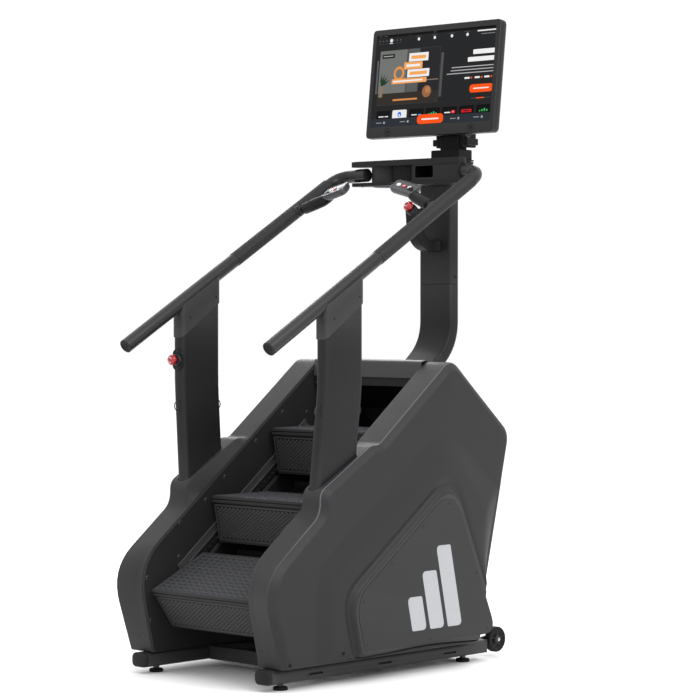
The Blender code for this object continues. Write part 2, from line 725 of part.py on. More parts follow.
def make_drive():
    sprocket = SPROCKET_RADIUS - SPROCKET_CLEARANCE
    inner = CHAIN_X - SPROCKET_THICKNESS / 2.0
    outer = CHAIN_X + SPROCKET_THICKNESS / 2.0
    hub_end = inner - HUB_LENGTH
    wheel = BELT_WIDTH / 2.0 + 0.001
    pulley = [(SHAFT_RADIUS, BELT_X + wheel), (DRIVE_PULLEY_RADIUS, BELT_X + wheel),
              (DRIVE_PULLEY_RADIUS, BELT_X - wheel), (SHAFT_RADIUS, BELT_X - wheel)]
    for name, centre, far_end, extra in (("idler_shaft", LOWER_SHAFT, SHAFT_REACH, []),
                                         ("drive_shaft", UPPER_SHAFT, BELT_X + 0.015, pulley)):
        profile = [(0.0, far_end), (SHAFT_RADIUS, far_end), *extra, (SHAFT_RADIUS, outer),
                   (sprocket, outer), (sprocket, inner), (HUB_RADIUS, inner),
                   (HUB_RADIUS, hub_end), (SHAFT_RADIUS, hub_end), (SHAFT_RADIUS, -hub_end),
                   (HUB_RADIUS, -hub_end), (HUB_RADIUS, -inner), (sprocket, -inner),
                   (sprocket, -outer), (SHAFT_RADIUS, -outer), (SHAFT_RADIUS, -SHAFT_REACH),
                   (0.0, -SHAFT_REACH)]
        lay_along_x(turned(name, profile, STEEL, 32), (0.0, *centre))
    half_bearing = BEARING_WIDTH / 2.0
    bearing_x = PLATE_X + PLATE_THICKNESS + GAP + half_bearing
    for side in (-1, 1):
        for label, centre in (("idler", LOWER_SHAFT), ("drive", UPPER_SHAFT)):
            ring = [(SHAFT_RADIUS + GAP, half_bearing), (BEARING_RADIUS, half_bearing),
                    (BEARING_RADIUS, -half_bearing), (SHAFT_RADIUS + GAP, -half_bearing)]
            bearing = turned(f"{label}_bearing_{side_name(side)}", ring, CAST_METAL, 20)
            lay_along_x(bearing, (side * bearing_x, *centre))
    for side in (-1, 1):
        outer_loop = belt_outline(LOWER_SHAFT, SPROCKET_RADIUS + CHAIN_OUTER,
                                  UPPER_SHAFT, SPROCKET_RADIUS + CHAIN_OUTER)
        inner_loop = belt_outline(LOWER_SHAFT, SPROCKET_RADIUS - CHAIN_INNER,
                                  UPPER_SHAFT, SPROCKET_RADIUS - CHAIN_INNER)
        plate("step_chain_" + side_name(side), [outer_loop, inner_loop], CHAIN_WIDTH,
              side_plane(side * CHAIN_X), STEEL)
    flange = 0.0125
    small = [(0.0, flange), (GENERATOR_PULLEY_RADIUS, flange),
             (GENERATOR_PULLEY_RADIUS, -flange), (GENERATOR_SHAFT_RADIUS, -flange),
             (GENERATOR_SHAFT_RADIUS, -0.046), (0.0, -0.046)]
    lay_along_x(turned("generator_pulley", small, CAST_METAL, 24), (BELT_X, *GENERATOR_AT))
    outer_loop = belt_outline(UPPER_SHAFT, DRIVE_PULLEY_RADIUS + BELT_SLACK + BELT_THICKNESS,
                              GENERATOR_AT,
                              GENERATOR_PULLEY_RADIUS + BELT_SLACK + BELT_THICKNESS)
    inner_loop = belt_outline(UPPER_SHAFT, DRIVE_PULLEY_RADIUS + BELT_SLACK,
                              GENERATOR_AT, GENERATOR_PULLEY_RADIUS + BELT_SLACK)
    plate("drive_belt", [outer_loop, inner_loop], BELT_WIDTH, side_plane(BELT_X), RUBBER)
    body_end = PLATE_X - GAP
    housing = cylinders("generator", GENERATOR_RADIUS, GENERATOR_LENGTH,
                        [along_x(body_end - GENERATOR_LENGTH / 2.0, *GENERATOR_AT)],
                        CAST_METAL, 28)
    bore = cylinders("generator_bore", GENERATOR_SHAFT_RADIUS + 0.0005, 0.060,
                     [along_x(body_end - 0.020, *GENERATOR_AT)], None, 16)
    bevel(housing, 0.005, 2)
    boolean(housing, bore, "DIFFERENCE")
    inlet = box("power_inlet", (0.050, 0.020, 0.032), INLET_PLACE, DARK_PLASTIC)
    x, y, z = INLET_PLACE
    socket = box("inlet_socket", (0.030, 0.020, 0.018), (x, y + 0.006, z), None)
    boolean(inlet, socket, "DIFFERENCE")


# ---------------------------------------------------------------- steps

def make_step_mesh():
    """One L-shaped step, drawn where it stands just as its axle reaches the lower sprocket.

    Its origin is the sprocket's centre, so that turning it about its origin rolls it
    round the sprocket and moving it up the incline carries it along the chain.
    """
    normal = (-math.sin(INCLINE), math.cos(INCLINE))
    axle = (normal[0] * SPROCKET_RADIUS, normal[1] * SPROCKET_RADIUS)
    nose = (axle[0] - AXLE_BEHIND_NOSE, axle[1] + AXLE_BELOW_TREAD)
    beam = AXLE_BELOW_TREAD + 0.015
    outline = [
        (0.0, 0.0), (TREAD_DEPTH, 0.0), (TREAD_DEPTH, -0.018),
        (AXLE_BEHIND_NOSE + 0.024, -0.018), (AXLE_BEHIND_NOSE + 0.020, -beam),
        (AXLE_BEHIND_NOSE - 0.020, -beam), (AXLE_BEHIND_NOSE - 0.024, -0.018),
        (0.022, -0.018), (RISER_SETBACK + 0.010, -RISER_HEIGHT),
        (RISER_SETBACK, -RISER_HEIGHT), (0.005, -TREAD_THICKNESS), (0.0, -TREAD_THICKNESS)]
    points = [(nose[0] + y, nose[1] + z) for y, z in outline]
    body = prism("step_body", points, 2 * STEP_HALF_WIDTH, side_plane(0.0), None)
    return body.data, axle


def make_steps():
    mesh, axle = make_step_mesh()
    bpy.data.objects.remove(bpy.data.objects["step_body"])
    first_on_chain = PITCH - SPROCKET_RADIUS * FIRST_STEP_TURN
    half_turn = math.pi * SPROCKET_RADIUS
    loop_length = 2 * CHAIN_RUN + 2 * half_turn
    places = {"step_1": (0.0, FIRST_STEP_TURN)}
    for number in (2, 3):
        places[f"step_{number}"] = (first_on_chain + (number - 2) * PITCH, 0.0)
    for number in (4, 5):
        past_top = first_on_chain + (number - 2) * PITCH - CHAIN_RUN - half_turn
        places[f"step_{number}"] = (CHAIN_RUN - past_top, math.pi)
    assert abs(loop_length - 5 * PITCH) < 1e-6
    for name, (distance, turn) in places.items():
        copy = mesh.copy()
        step = add_object(name, copy, CAST_METAL)
        step.location = (0.0, *up_incline(LOWER_SHAFT, distance))
        step.rotation_euler.x = turn
        rod = cylinders(name + "_axle", AXLE_RADIUS, 2 * (STEP_HALF_WIDTH + 0.0015),
                        [along_x(0.0, *axle)], None, 16)
        rod.parent = step
        boolean(step, rod, "UNION")


# ---------------------------------------------------------------- posts and handrails

def handrail_path(side):
    corner = Vector((side * HANDRAIL_X, HANDRAIL_CORNER_Y, handrail_z(HANDRAIL_CORNER_Y)))
    start = Vector((side * HANDRAIL_X, *HANDRAIL_END))
    end = Vector((side * HANDRAIL_INNER_X[side], HANDRAIL_CORNER_Y + 0.002, HANDRAIL_INNER_Z))
    reach = 0.062
    first = corner + (start - corner).normalized() * reach
    last = corner + (end - corner).normalized() * reach
    bend = []
    for k in range(9):
        t = k / 8
        bend.append(first * (1 - t) ** 2 + corner * 2 * t * (1 - t) + last * t ** 2)
    return [start] + bend + [end]


def straight_rail_cutter(name, side):
    start = Vector((side * HANDRAIL_X, HANDRAIL_END[0] - 0.05, handrail_z(HANDRAIL_END[0] - 0.05)))
    end = Vector((side * HANDRAIL_X, 0.28, handrail_z(0.28)))
    sides = 16
    flat_clearance = (HANDRAIL_RADIUS + GAP) / math.cos(math.pi / sides)
    return tube(name, [start, end], flat_clearance, None, 6)


def make_post(side):
    name = side_name(side)
    rail_middle = handrail_z(POST_CENTRE_Y)
    top_z = rail_middle - 0.030
    post = loft("post_" + name,
                post_rings(side, 0.0, POST_FOOT_Z, top_z, HANDRAIL_SLOPE), BLACK_PAINT)
    foot_reach = 0.040
    bracket = box("post_bracket_" + name, (foot_reach, 0.100, 0.050),
                  (side * (PLATE_X + PLATE_THICKNESS + GAP + foot_reach / 2.0),
                   POST_CENTRE_Y - 0.010, POST_FOOT_Z + 0.005), None)
    boolean(post, bracket, "UNION")
    if side < 0:
        ring_matrix = Matrix.Translation((side * HANDRAIL_X, ESTOP_POST_Y - 0.005, ESTOP_POST_Z))
        ring_matrix = ring_matrix @ Matrix.Rotation(math.radians(90.0), 4, "X")
        collar = cylinders("estop_collar_post", ESTOP_COLLAR_RADIUS, 0.012, [ring_matrix], None, 20)
        bore = cylinders("estop_bore_post", ESTOP_BORE_RADIUS, 0.030, [ring_matrix], None, 20)
        boolean(post, collar, "UNION")
        boolean(post, bore, "DIFFERENCE")
    low_middle = handrail_z(POST_CENTRE_Y) - CAP_DROP
    rings = [post_ring(0.0, 0.0, low_middle, CAP_LOW_SLOPE, GAP, side),
             post_ring(0.0, 0.0, rail_middle + 0.001, HANDRAIL_SLOPE, GAP, side)]
    cap = loft("post_cap_" + name, rings, DARK_PLASTIC, close_start=False, close_end=False)
    solidify(cap, CAP_WALL, -1.0)
    boolean(cap, straight_rail_cutter("cap_cutter_" + name, side), "DIFFERENCE")


def estop_profile(stem_length):
    """Mushroom head on a short stem, drawn downwards."""
    return [(0.0, 0.013), (0.008, 0.0125), (0.0135, 0.010), (0.0165, 0.005), (0.0165, 0.0),
            (0.0150, -0.003), (0.0095, -0.004), (0.0095, -stem_length), (0.0, -stem_length)]


def mirrored(place, side):
    return Vector((side * place[0], place[1], place[2]))


def pod_matrix(side):
    """Place of a control pod: its top leans towards the climber and rises inwards."""
    return (Matrix.Translation(mirrored(POD_CENTRE, side))
            @ Matrix.Rotation(side * POD_TURN[1], 4, "Y")
            @ Matrix.Rotation(POD_TURN[0], 4, "X"))


def button_matrix(side, offset):
    top = POD_SIZE[2] / 2.0
    return pod_matrix(side) @ Matrix.Translation((side * offset, 0.0, top))


def make_grip(side):
    name = side_name(side)
    root = mirrored((HANDRAIL_X, GRIP_ROOT_Y, handrail_z(GRIP_ROOT_Y)), side)
    tip = mirrored(GRIP_TIP, side)
    pod_end = mirrored((POD_CENTRE[0] + 0.020, POD_CENTRE[1], POD_CENTRE[2] - 0.004), side)
    grip = tube("grip_" + name, [root, root.lerp(tip, 0.5), tip, pod_end], GRIP_RADIUS,
                DARK_PLASTIC, 4)
    half = [size / 2.0 for size in POD_SIZE]
    outline = rectangle(POD_SIZE[0], POD_SIZE[1], 0.014, 3)
    pod = loft("pod_block_" + name,
               [[Vector((u * 0.92, v * 0.9, -half[2])) for u, v in outline],
                [Vector((u, v, -half[2] * 0.4)) for u, v in outline],
                [Vector((u, v, half[2])) for u, v in outline]], None)
    pod.matrix_world = pod_matrix(side)
    boolean(grip, pod, "UNION")
    pockets = cylinders("button_pockets_" + name, BUTTON_POCKET_RADIUS, 0.010,
                        [button_matrix(side, offset) for offset in BUTTON_OFFSETS], None, 16)
    boolean(grip, pockets, "DIFFERENCE")
    boolean(grip, straight_rail_cutter("grip_cutter_" + name, side), "DIFFERENCE")
    for label, offset in zip(BUTTON_NAMES, BUTTON_OFFSETS):
        profile = [(0.0, 0.0022), (0.0055, 0.0018), (0.0072, 0.0008), (0.0072, -0.0030),
                   (0.0, -0.0030)]
        look = RED_PLASTIC if label == "stop_button" else WHITE_PLASTIC
        button = turned(f"{label}_{name}", profile, look, 16)
        button.matrix_world = button_matrix(side, offset)


def make_handrails():
    for side in (-1, 1):
        tube("handrail_" + side_name(side), handrail_path(side), HANDRAIL_RADIUS, BLACK_PAINT, 5)
        make_post(side)
        make_grip(side)
    button = turned("estop_button_post", estop_profile(ESTOP_STEM), RED_PLASTIC, 24)
    button.location = (-HANDRAIL_X, ESTOP_POST_Y - 0.0215, ESTOP_POST_Z)
    button.rotation_euler.x = math.radians(90.0)


# ---------------------------------------------------------------- mast, console and screen

def section_ring(centre, along, width, depth, radius=0.012):
    """Rounded-rectangle section of a box tube, square to its direction in the YZ plane."""
    across = Vector((0.0, along.z, -along.y))
    return [centre + Vector((p.x, 0.0, 0.0)) + across * p.y
            for p in rectangle(width, depth, radius, 3)]


def make_mast():
    up = Vector((0.0, 0.0, 1.0))
    rings = [section_ring(MAST_FOOT, MAST_UP, MAST_WIDTH, MAST_DEPTH)]
    for k in range(7):
        t = k / 6
        start = MAST_CORNER - MAST_UP * MAST_BEND
        end = MAST_CORNER + up * MAST_BEND
        centre = start * (1 - t) ** 2 + MAST_CORNER * 2 * t * (1 - t) + end * t ** 2
        heading = (MAST_UP * (1 - t) + up * t).normalized()
        rings.append(section_ring(centre, heading, MAST_WIDTH, MAST_DEPTH))
    rings.append(section_ring(Vector((0.0, MAST_Y, MAST_SEAM_Z - GAP)), up, MAST_WIDTH,
                              MAST_DEPTH))
    mast = loft("mast_lower", rings, BLACK_PAINT)
    foot_plate = box("mast_foot_plate", (2 * (PLATE_X - GAP), 0.110, 0.006),
                     MAST_FOOT - MAST_UP * 0.002, None, math.atan2(-MAST_UP.y, MAST_UP.z))
    boolean(mast, foot_plate, "UNION")
    matrix = floor_plane((MAST_SEAM_Z + MAST_TOP_Z) / 2.0) @ Matrix.Translation((0, MAST_Y, 0))
    plate("mast_upper", [rectangle(MAST_WIDTH, MAST_DEPTH, 0.012, 3)],
          MAST_TOP_Z - MAST_SEAM_Z, matrix, BLACK_PAINT)


def make_estop_arm():
    """Curved box arm that carries a second stop button forward of the mast."""
    root = Vector((0.0, MAST_Y - MAST_DEPTH / 2.0 - GAP, ESTOP_ARM_Z))
    middle = Vector((0.0, 0.385, ESTOP_ARM_Z))
    forward = Vector((0.0, -1.0, 0.0))
    rings = [section_ring(root, forward, *ESTOP_ARM_SECTION)]
    tip = ESTOP_ARM_FACE
    upward = Vector((0.0, -0.10, 1.0)).normalized()
    for k in range(8):
        t = k / 7
        centre = (Vector((0.0, 0.455, ESTOP_ARM_Z)) * (1 - t) ** 2 + middle * 2 * t * (1 - t)
                  + (tip - upward * 0.02) * t ** 2)
        heading = (forward * (1 - t) + upward * t).normalized()
        rings.append(section_ring(centre, heading, *ESTOP_ARM_SECTION))
    rings.append(section_ring(tip + upward * 0.012, upward, *ESTOP_ARM_SECTION))
    arm = loft("estop_arm", rings, DARK_PLASTIC)
    matrix = (Matrix.Translation(ESTOP_SEAT - ESTOP_ARM_HEADING * 0.006)
              @ ESTOP_ARM_HEADING.to_track_quat("Z", "Y").to_matrix().to_4x4())
    collar = cylinders("estop_collar_arm", ESTOP_COLLAR_RADIUS, 0.020, [matrix], None, 20)
    bore = cylinders("estop_bore_arm", ESTOP_BORE_RADIUS, 0.030, [matrix], None, 20)
    boolean(arm, collar, "UNION")
    boolean(arm, bore, "DIFFERENCE")
    button = turned("estop_button_arm", estop_profile(ESTOP_STEM), RED_PLASTIC, 24)
    button.location = ESTOP_SEAT + ESTOP_ARM_HEADING * 0.0145
    button.rotation_mode = "QUATERNION"
    button.rotation_quaternion = ESTOP_ARM_HEADING.to_track_quat("Z", "Y")


def make_console():
    """Tray on the mast: a bottle holder on the left and a shelf pocket on the right."""
    wide = TRAY_HALF_WIDTH
    narrow = TRAY_NECK_HALF_WIDTH
    corners = [(-wide, TRAY_FRONT_Y, 0.010), (-wide, 0.362, 0.012), (-narrow, 0.545, 0.020),
               (-narrow, TRAY_REAR_Y, 0.008), (narrow, TRAY_REAR_Y, 0.008),
               (narrow, 0.545, 0.020), (wide, 0.362, 0.012), (wide, TRAY_FRONT_Y, 0.010)]
    tray = plate("console_tray", [rounded(corners, 3), circle(CUP_CENTRE, CUP_BORE)],
                 TRAY_TOP_THICKNESS, floor_plane(TRAY_TOP - TRAY_TOP_THICKNESS / 2.0),
                 DARK_PLASTIC)
    base = plate("tray_floor", [rounded(offset_corners(corners, 0.001), 3)],
                 TRAY_FLOOR_THICKNESS, floor_plane(TRAY_BOTTOM + TRAY_FLOOR_THICKNESS / 2.0), None)
    boolean(tray, base, "UNION")
    overlap = 0.004
    cup_bottom = TRAY_BOTTOM + TRAY_FLOOR_THICKNESS - overlap
    cup_height = TRAY_TOP - TRAY_TOP_THICKNESS + overlap - cup_bottom
    cup_z = cup_bottom + cup_height / 2.0
    cup = plate("cup_wall", [circle((0, 0), CUP_RADIUS), circle((0, 0), CUP_BORE + GAP)],
                cup_height, Matrix.Translation((*CUP_CENTRE, cup_z)), None)
    boolean(tray, cup, "UNION")
    block_corners = [(0.030, TRAY_FRONT_Y + 0.004, 0.003), (0.0, 0.374, 0.028),
                     (-0.092, 0.372, 0.008), (-0.092, 0.455, 0.008), (-0.060, 0.540, 0.010),
                     (0.055, 0.540, 0.010), (wide - 0.002, 0.362, 0.012),
                     (wide - 0.002, TRAY_FRONT_Y + 0.003, 0.006)]
    block = plate("tray_block", [rounded(block_corners, 3)], cup_height,
                  floor_plane(cup_z), None)
    boolean(tray, block, "UNION")
    pocket = box("tray_pocket", POCKET_SIZE, POCKET_CENTRE, None)
    boolean(tray, pocket, "DIFFERENCE")


def make_screen_neck():
    bottom = TRAY_TOP + GAP
    shoulder = 1.650
    neck = box("screen_neck", (0.124, 0.068, shoulder - bottom),
               (0.0, 0.565, (shoulder + bottom) / 2.0), BLACK_PAINT)
    tongue = box("neck_tongue", (0.080, 0.046, 0.060), (0.0, HINGE_Y, shoulder + 0.010), None)
    boolean(neck, tongue, "UNION")


def screen_matrix(out, up):
    """Place on the leaning screen: `out` of its face, `up` along it from its bottom edge."""
    lean = Matrix.Rotation(-SCREEN_TILT, 4, "X")
    foot = Matrix.Translation((0.0, *SCREEN_BOTTOM))
    return foot @ lean @ Matrix.Translation((0.0, -out, up))


def upright(matrix):
    """Turn an outline plane to stand upright on the screen's face."""
    return matrix @ Matrix.Rotation(math.radians(90.0), 4, "X")


def make_screen():
    """Display housing with its tilt bracket, which turns about a pin on the neck."""
    half_thickness = SCREEN_THICKNESS / 2.0
    centre = screen_matrix(-half_thickness, SCREEN_HEIGHT / 2.0)
    outline = rectangle(2 * SCREEN_HALF_WIDTH, SCREEN_HEIGHT, 0.016, 4)
    housing = plate("screen_housing", [outline], SCREEN_THICKNESS, upright(centre), DARK_PLASTIC)
    recess = plate("display_recess", [rectangle(*DISPLAY_SIZE, 0.004, 2)], 2 * DISPLAY_RECESS,
                   upright(screen_matrix(0.0, DISPLAY_MIDDLE)), None)
    boolean(housing, recess, "DIFFERENCE")
    glass_size = (DISPLAY_SIZE[0] - 2 * GAP, DISPLAY_SIZE[1] - 2 * GAP)
    glass_setback = 0.0002
    glass_thickness = DISPLAY_RECESS - GAP - glass_setback
    glass_middle = screen_matrix(-glass_setback - glass_thickness / 2.0, DISPLAY_MIDDLE)
    plate("screen_glass", [rectangle(*glass_size, 0.004, 2)], glass_thickness,
          upright(glass_middle), SCREEN_GLASS)
    mount = box("display_mount", (0.120, 0.088, 0.120), (0.0, 0.539, 1.860), None)
    back = box("bracket_back", (0.120, 0.024, 0.210), (0.0, 0.586, 1.820), None)
    boolean(housing, mount, "UNION")
    boolean(housing, back, "UNION")
    for side in (-1, 1):
        cheek = box("bracket_cheek_" + side_name(side), (0.020, 0.0665, 0.102),
                    (side * 0.0506, HINGE_Y + 0.01325, 1.709), None)
        ear = box("bracket_ear_" + side_name(side), (0.030, 0.048, 0.016),
                  (side * 0.0560, HINGE_Y + 0.010, HINGE_Z + 0.002), None)
        boolean(housing, cheek, "UNION")
        boolean(housing, ear, "UNION")


def main():
    make_base()
    make_transport_wheels()
    for side in (-1, 1):
        make_side_cover(side)
        make_side_frame(side)
    make_top_and_rear_covers()
    make_drive()
    make_steps()
    make_handrails()
    make_mast()
    make_estop_arm()
    make_console()
    make_screen_neck()
    make_screen()


clear_scene()
parts = new_collection("stair_climber")
cutters = new_collection("cutters")
main()
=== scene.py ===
"""Looks of the stair climber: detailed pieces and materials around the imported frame."""
import math

import bmesh
import bpy
from mathutils import Matrix, Vector
from mathutils.bvhtree import BVHTree


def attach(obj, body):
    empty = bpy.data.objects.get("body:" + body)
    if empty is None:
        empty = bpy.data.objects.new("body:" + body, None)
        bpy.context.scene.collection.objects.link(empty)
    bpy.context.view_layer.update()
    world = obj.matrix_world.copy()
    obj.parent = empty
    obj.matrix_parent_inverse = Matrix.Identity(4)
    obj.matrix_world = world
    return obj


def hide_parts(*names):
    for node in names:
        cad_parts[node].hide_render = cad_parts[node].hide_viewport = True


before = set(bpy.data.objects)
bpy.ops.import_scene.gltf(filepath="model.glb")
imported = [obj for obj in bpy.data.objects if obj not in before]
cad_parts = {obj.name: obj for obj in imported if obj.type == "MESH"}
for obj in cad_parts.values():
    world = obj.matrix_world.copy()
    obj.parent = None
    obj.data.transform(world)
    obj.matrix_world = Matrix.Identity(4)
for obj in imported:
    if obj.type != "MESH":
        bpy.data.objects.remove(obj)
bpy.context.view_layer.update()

SIDES = (("left", -1), ("right", 1))
BODY = "machine"

# Sizes shared with the frame, in metres
STEP_RISE = 0.203
STEP_GOING = 0.262
INCLINE = math.atan2(STEP_RISE, STEP_GOING)
PITCH = math.hypot(STEP_RISE, STEP_GOING)
SPROCKET_RADIUS = PITCH / (2 * math.pi)
LOWER_SHAFT = (-0.3733, 0.2734)
FIRST_STEP_TURN = math.radians(25.0)
STEP_HALF_WIDTH = 0.2215
POCKET_X = 0.0845
RAIL_X = 0.271
RAIL_WIDTH = 0.066
RAIL_BOTTOM = 0.0205
RAIL_TOP = 0.0655
RAIL_FRONT = -0.573
RAIL_REAR = 0.392
LIP_Y = 0.150
GENERATOR_AT = (0.185, 0.215)
COVER_BOTTOM = 0.067
COVER_INNER_X = 0.2345
COLLAR_X = 0.2560
CREASE_X = 0.3300
SHOULDER_X = 0.3500
BOSS_TOP_X = 0.3828
RIM_AT_ORIGIN = 0.825
RIM_SLOPE = STEP_RISE / STEP_GOING
REAR_SLOPE = -0.860
REAR_SLOPE_AT_ORIGIN = 1.1325
REAR_LEAN = 0.2395
REAR_AT_FLOOR = 0.2921
KNEE_INNER_Y = -0.6244
KNEE_CREASE_Y = -0.64715
PANEL_CORNERS = [(-0.262, 0.098, 0.016), (-0.302, 0.256, 0.072), (0.140, 0.577, 0.105),
                 (0.345, 0.100, 0.060)]
FOLD_CORNERS = [(-0.434, 0.020, 0.010), (-0.4365, 0.350, 0.075), (0.138, 0.7582, 0.125),
                (0.640, 0.3650, 0.050), (0.400, 0.020, 0.010)]
HANDRAIL_X = 0.314
HANDRAIL_RADIUS = 0.022
HANDRAIL_END = (-0.598, 1.010)
HANDRAIL_SLOPE = 0.5813
HANDRAIL_CORNER_Y = 0.352
HANDRAIL_INNER_X = {-1: 0.1840, 1: 0.2403}
HANDRAIL_INNER_Z = 1.566
POST_CENTRE_Y = -0.299
POST_WIDTH = 0.045
POST_DEPTH = 0.163
POST_FRONT_Y = POST_CENTRE_Y - POST_DEPTH / 2.0
POST_BEND_Z = 0.886
POST_BEND_REACH = 0.045
POST_LEAN_HEIGHT = 0.286
HANDRAIL_BEND = 0.062
RIBS_START_Y = -0.132
RIB_SPACING = 0.0036
SIDE_PLATE_OUTER_X = 0.2418
GRIP_ROOT_Y = 0.136
GRIP_ROOT = Vector((HANDRAIL_X, GRIP_ROOT_Y,
                    HANDRAIL_END[1] + HANDRAIL_SLOPE * (GRIP_ROOT_Y - HANDRAIL_END[0])))
GRIP_TIP = Vector((0.190, 0.166, 1.481))
POD_CENTRE = Vector((0.152, 0.172, 1.503))
POD_SIZE = (0.098, 0.052, 0.026)
KEY_OFFSETS = (-0.026, -0.002, 0.022)
STOP_Z = 0.965
STOP_ARM_FACE = Vector((0.0, 0.3800, 1.4390))
STOP_HEADING = Vector((0.0, -0.800, 0.600)).normalized()
MAST_WIDTH = 0.140
MAST_DEPTH = 0.043
MAST_Y = 0.5035
MAST_UP = Vector((0.0, 0.760, 0.650)).normalized()
MAST_BEND = 0.075
MAST_SEAM_Z = 1.205
TRAY_BOTTOM = 1.528
TRAY_TOP = 1.611
CUP_CENTRE = (-0.135, 0.398)
CUP_BORE = 0.040
CUP_RADIUS = 0.052
SCREEN_HALF_WIDTH = 0.281
SCREEN_HEIGHT = 0.369
SCREEN_TILT = math.radians(6.4)
SCREEN_BOTTOM = (0.4465, 1.694)
DISPLAY_SIZE = (0.526, 0.312)
DISPLAY_MIDDLE = 0.1935
HINGE = (0.575, 1.672)
CHAIN_X = 0.227
WHEEL_AXLE = (0.4707, 0.0562)
CHAIN_LINKS = 80
INLET_AT = (0.120, 0.3700, 0.043)
SIDE_PLATE_FACE_X = 0.2375
MAST_CORNER = Vector((0.0, MAST_Y, 1.010))
TIE_RING_Z = 0.8205
PANEL_FACE_X = BOSS_TOP_X + 0.0021

# Colours of the display's picture
INK = (0.014, 0.0145, 0.0155)
ORANGE = (0.95, 0.085, 0.004)
PEACH = (0.86, 0.36, 0.10)
PALE = (0.80, 0.80, 0.80)
GREY = (0.10, 0.105, 0.11)
BLACK = (0.0015, 0.0015, 0.002)
NAVY = (0.020, 0.026, 0.034)


# ---------------------------------------------------------------- materials

def node(tree, kind, **values):
    made = tree.nodes.new(kind)
    for key, value in values.items():
        setattr(made, key, value)
    return made


def link(tree, start, end):
    tree.links.new(start, end)


def noise(tree, scale, detail=2.0, roughness=0.5, coords=None):
    texture = node(tree, "ShaderNodeTexNoise")
    texture.inputs["Scale"].default_value = scale
    texture.inputs["Detail"].default_value = detail
    texture.inputs["Roughness"].default_value = roughness
    if coords is not None:
        link(tree, coords, texture.inputs["Vector"])
    return texture.outputs["Fac"]


def ranged(tree, value, low, high, from_low=0.3, from_high=0.7):
    mapped = node(tree, "ShaderNodeMapRange")
    mapped.inputs["From Min"].default_value = from_low
    mapped.inputs["From Max"].default_value = from_high
    mapped.inputs["To Min"].default_value = low
    mapped.inputs["To Max"].default_value = high
    link(tree, value, mapped.inputs["Value"])
    return mapped.outputs["Result"]


def mixed(tree, factor, colour_a, colour_b):
    mix = node(tree, "ShaderNodeMix", data_type="RGBA")
    link(tree, factor, mix.inputs["Factor"])
    for socket, colour in ((mix.inputs[6], colour_a), (mix.inputs[7], colour_b)):
        if isinstance(colour, tuple):
            socket.default_value = (*colour, 1.0)
        else:
            link(tree, colour, socket)
    return mix.outputs[2]


def bumped(tree, height, distance):
    bump = node(tree, "ShaderNodeBump")
    bump.inputs["Distance"].default_value = distance
    bump.inputs["Strength"].default_value = 1.0
    link(tree, height, bump.inputs["Height"])
    return bump.outputs["Normal"]


CLOUD_SCALE = 4.0


def scaled(colour, share):
    return tuple(min(1.0, c * share) for c in colour)


def new_material(name):
    """A node material, with its node tree and its shader's inputs."""
    material = bpy.data.materials.new(name)
    material.use_nodes = True
    tree = material.node_tree
    return material, tree, tree.nodes["Principled BSDF"].inputs


def surface(name, colour, roughness, metallic=0.0, grain=(900.0, 0.00012), wear=0.0,
            spread=0.06, specular=0.5, coat=0.0, vary=0.12, painted_highlight=None):
    """A moulded, painted or metal surface: grain, slow colour and gloss changes, worn edges, and a
    painted crease highlight where given.
    """
    material, tree, inputs = new_material(name)
    inputs["Metallic"].default_value = metallic
    inputs["Specular IOR Level"].default_value = specular
    inputs["Coat Weight"].default_value = coat
    coords = node(tree, "ShaderNodeTexCoord").outputs["Object"]
    slow = noise(tree, CLOUD_SCALE, 4.0, 0.55, coords)
    fine = noise(tree, grain[0], 2.0, 0.6, coords)
    speckle = noise(tree, grain[0] * 0.35, 3.0, 0.6, coords)
    base = mixed(tree, ranged(tree, slow, 0.0, 1.0), scaled(colour, 1.0 - vary),
                 scaled(colour, 1.0 + vary))
    base = mixed(tree, ranged(tree, speckle, 0.0, 0.5, 0.35, 0.75), base, scaled(colour, 1.35))
    if wear > 0.0:
        edge = node(tree, "ShaderNodeNewGeometry").outputs["Pointiness"]
        worn = ranged(tree, edge, 0.0, wear, 0.51, 0.58)
        base = mixed(tree, worn, base, tuple(min(1.0, c * 1.6 + 0.05) for c in colour))
    # Painted highlight: a lighter colour along the creases, by the mesh's share attribute.
    if painted_highlight:
        highlight_share = node(tree, "ShaderNodeAttribute", attribute_name="painted_highlight").outputs["Fac"]
        base = mixed(tree, ranged(tree, highlight_share, 0.0, 1.0), base, painted_highlight)
    link(tree, base, inputs["Base Color"])
    link(tree, ranged(tree, slow, roughness - spread, roughness + spread), inputs["Roughness"])
    link(tree, bumped(tree, fine, grain[1]), inputs["Normal"])
    return material


def painted_picture(name):
    """The display's picture: colours come from the mesh, glowing softly with a glassy gloss."""
    material, tree, inputs = new_material(name)
    colour = node(tree, "ShaderNodeAttribute", attribute_name="picture").outputs["Color"]
    coords = node(tree, "ShaderNodeTexCoord").outputs["Object"]
    dots = noise(tree, 2600.0, 0.0, 0.5, coords)
    shade = mixed(tree, ranged(tree, dots, 0.0, 0.10), colour, (0.0, 0.0, 0.0))
    link(tree, mixed(tree, ranged(tree, dots, 0.50, 0.55), shade, (0.0, 0.0, 0.0)),
         inputs["Base Color"])
    link(tree, shade, inputs["Emission Color"])
    inputs["Emission Strength"].default_value = 0.45
    inputs["Roughness"].default_value = 0.10
    inputs["Specular IOR Level"].default_value = 0.06
    return material
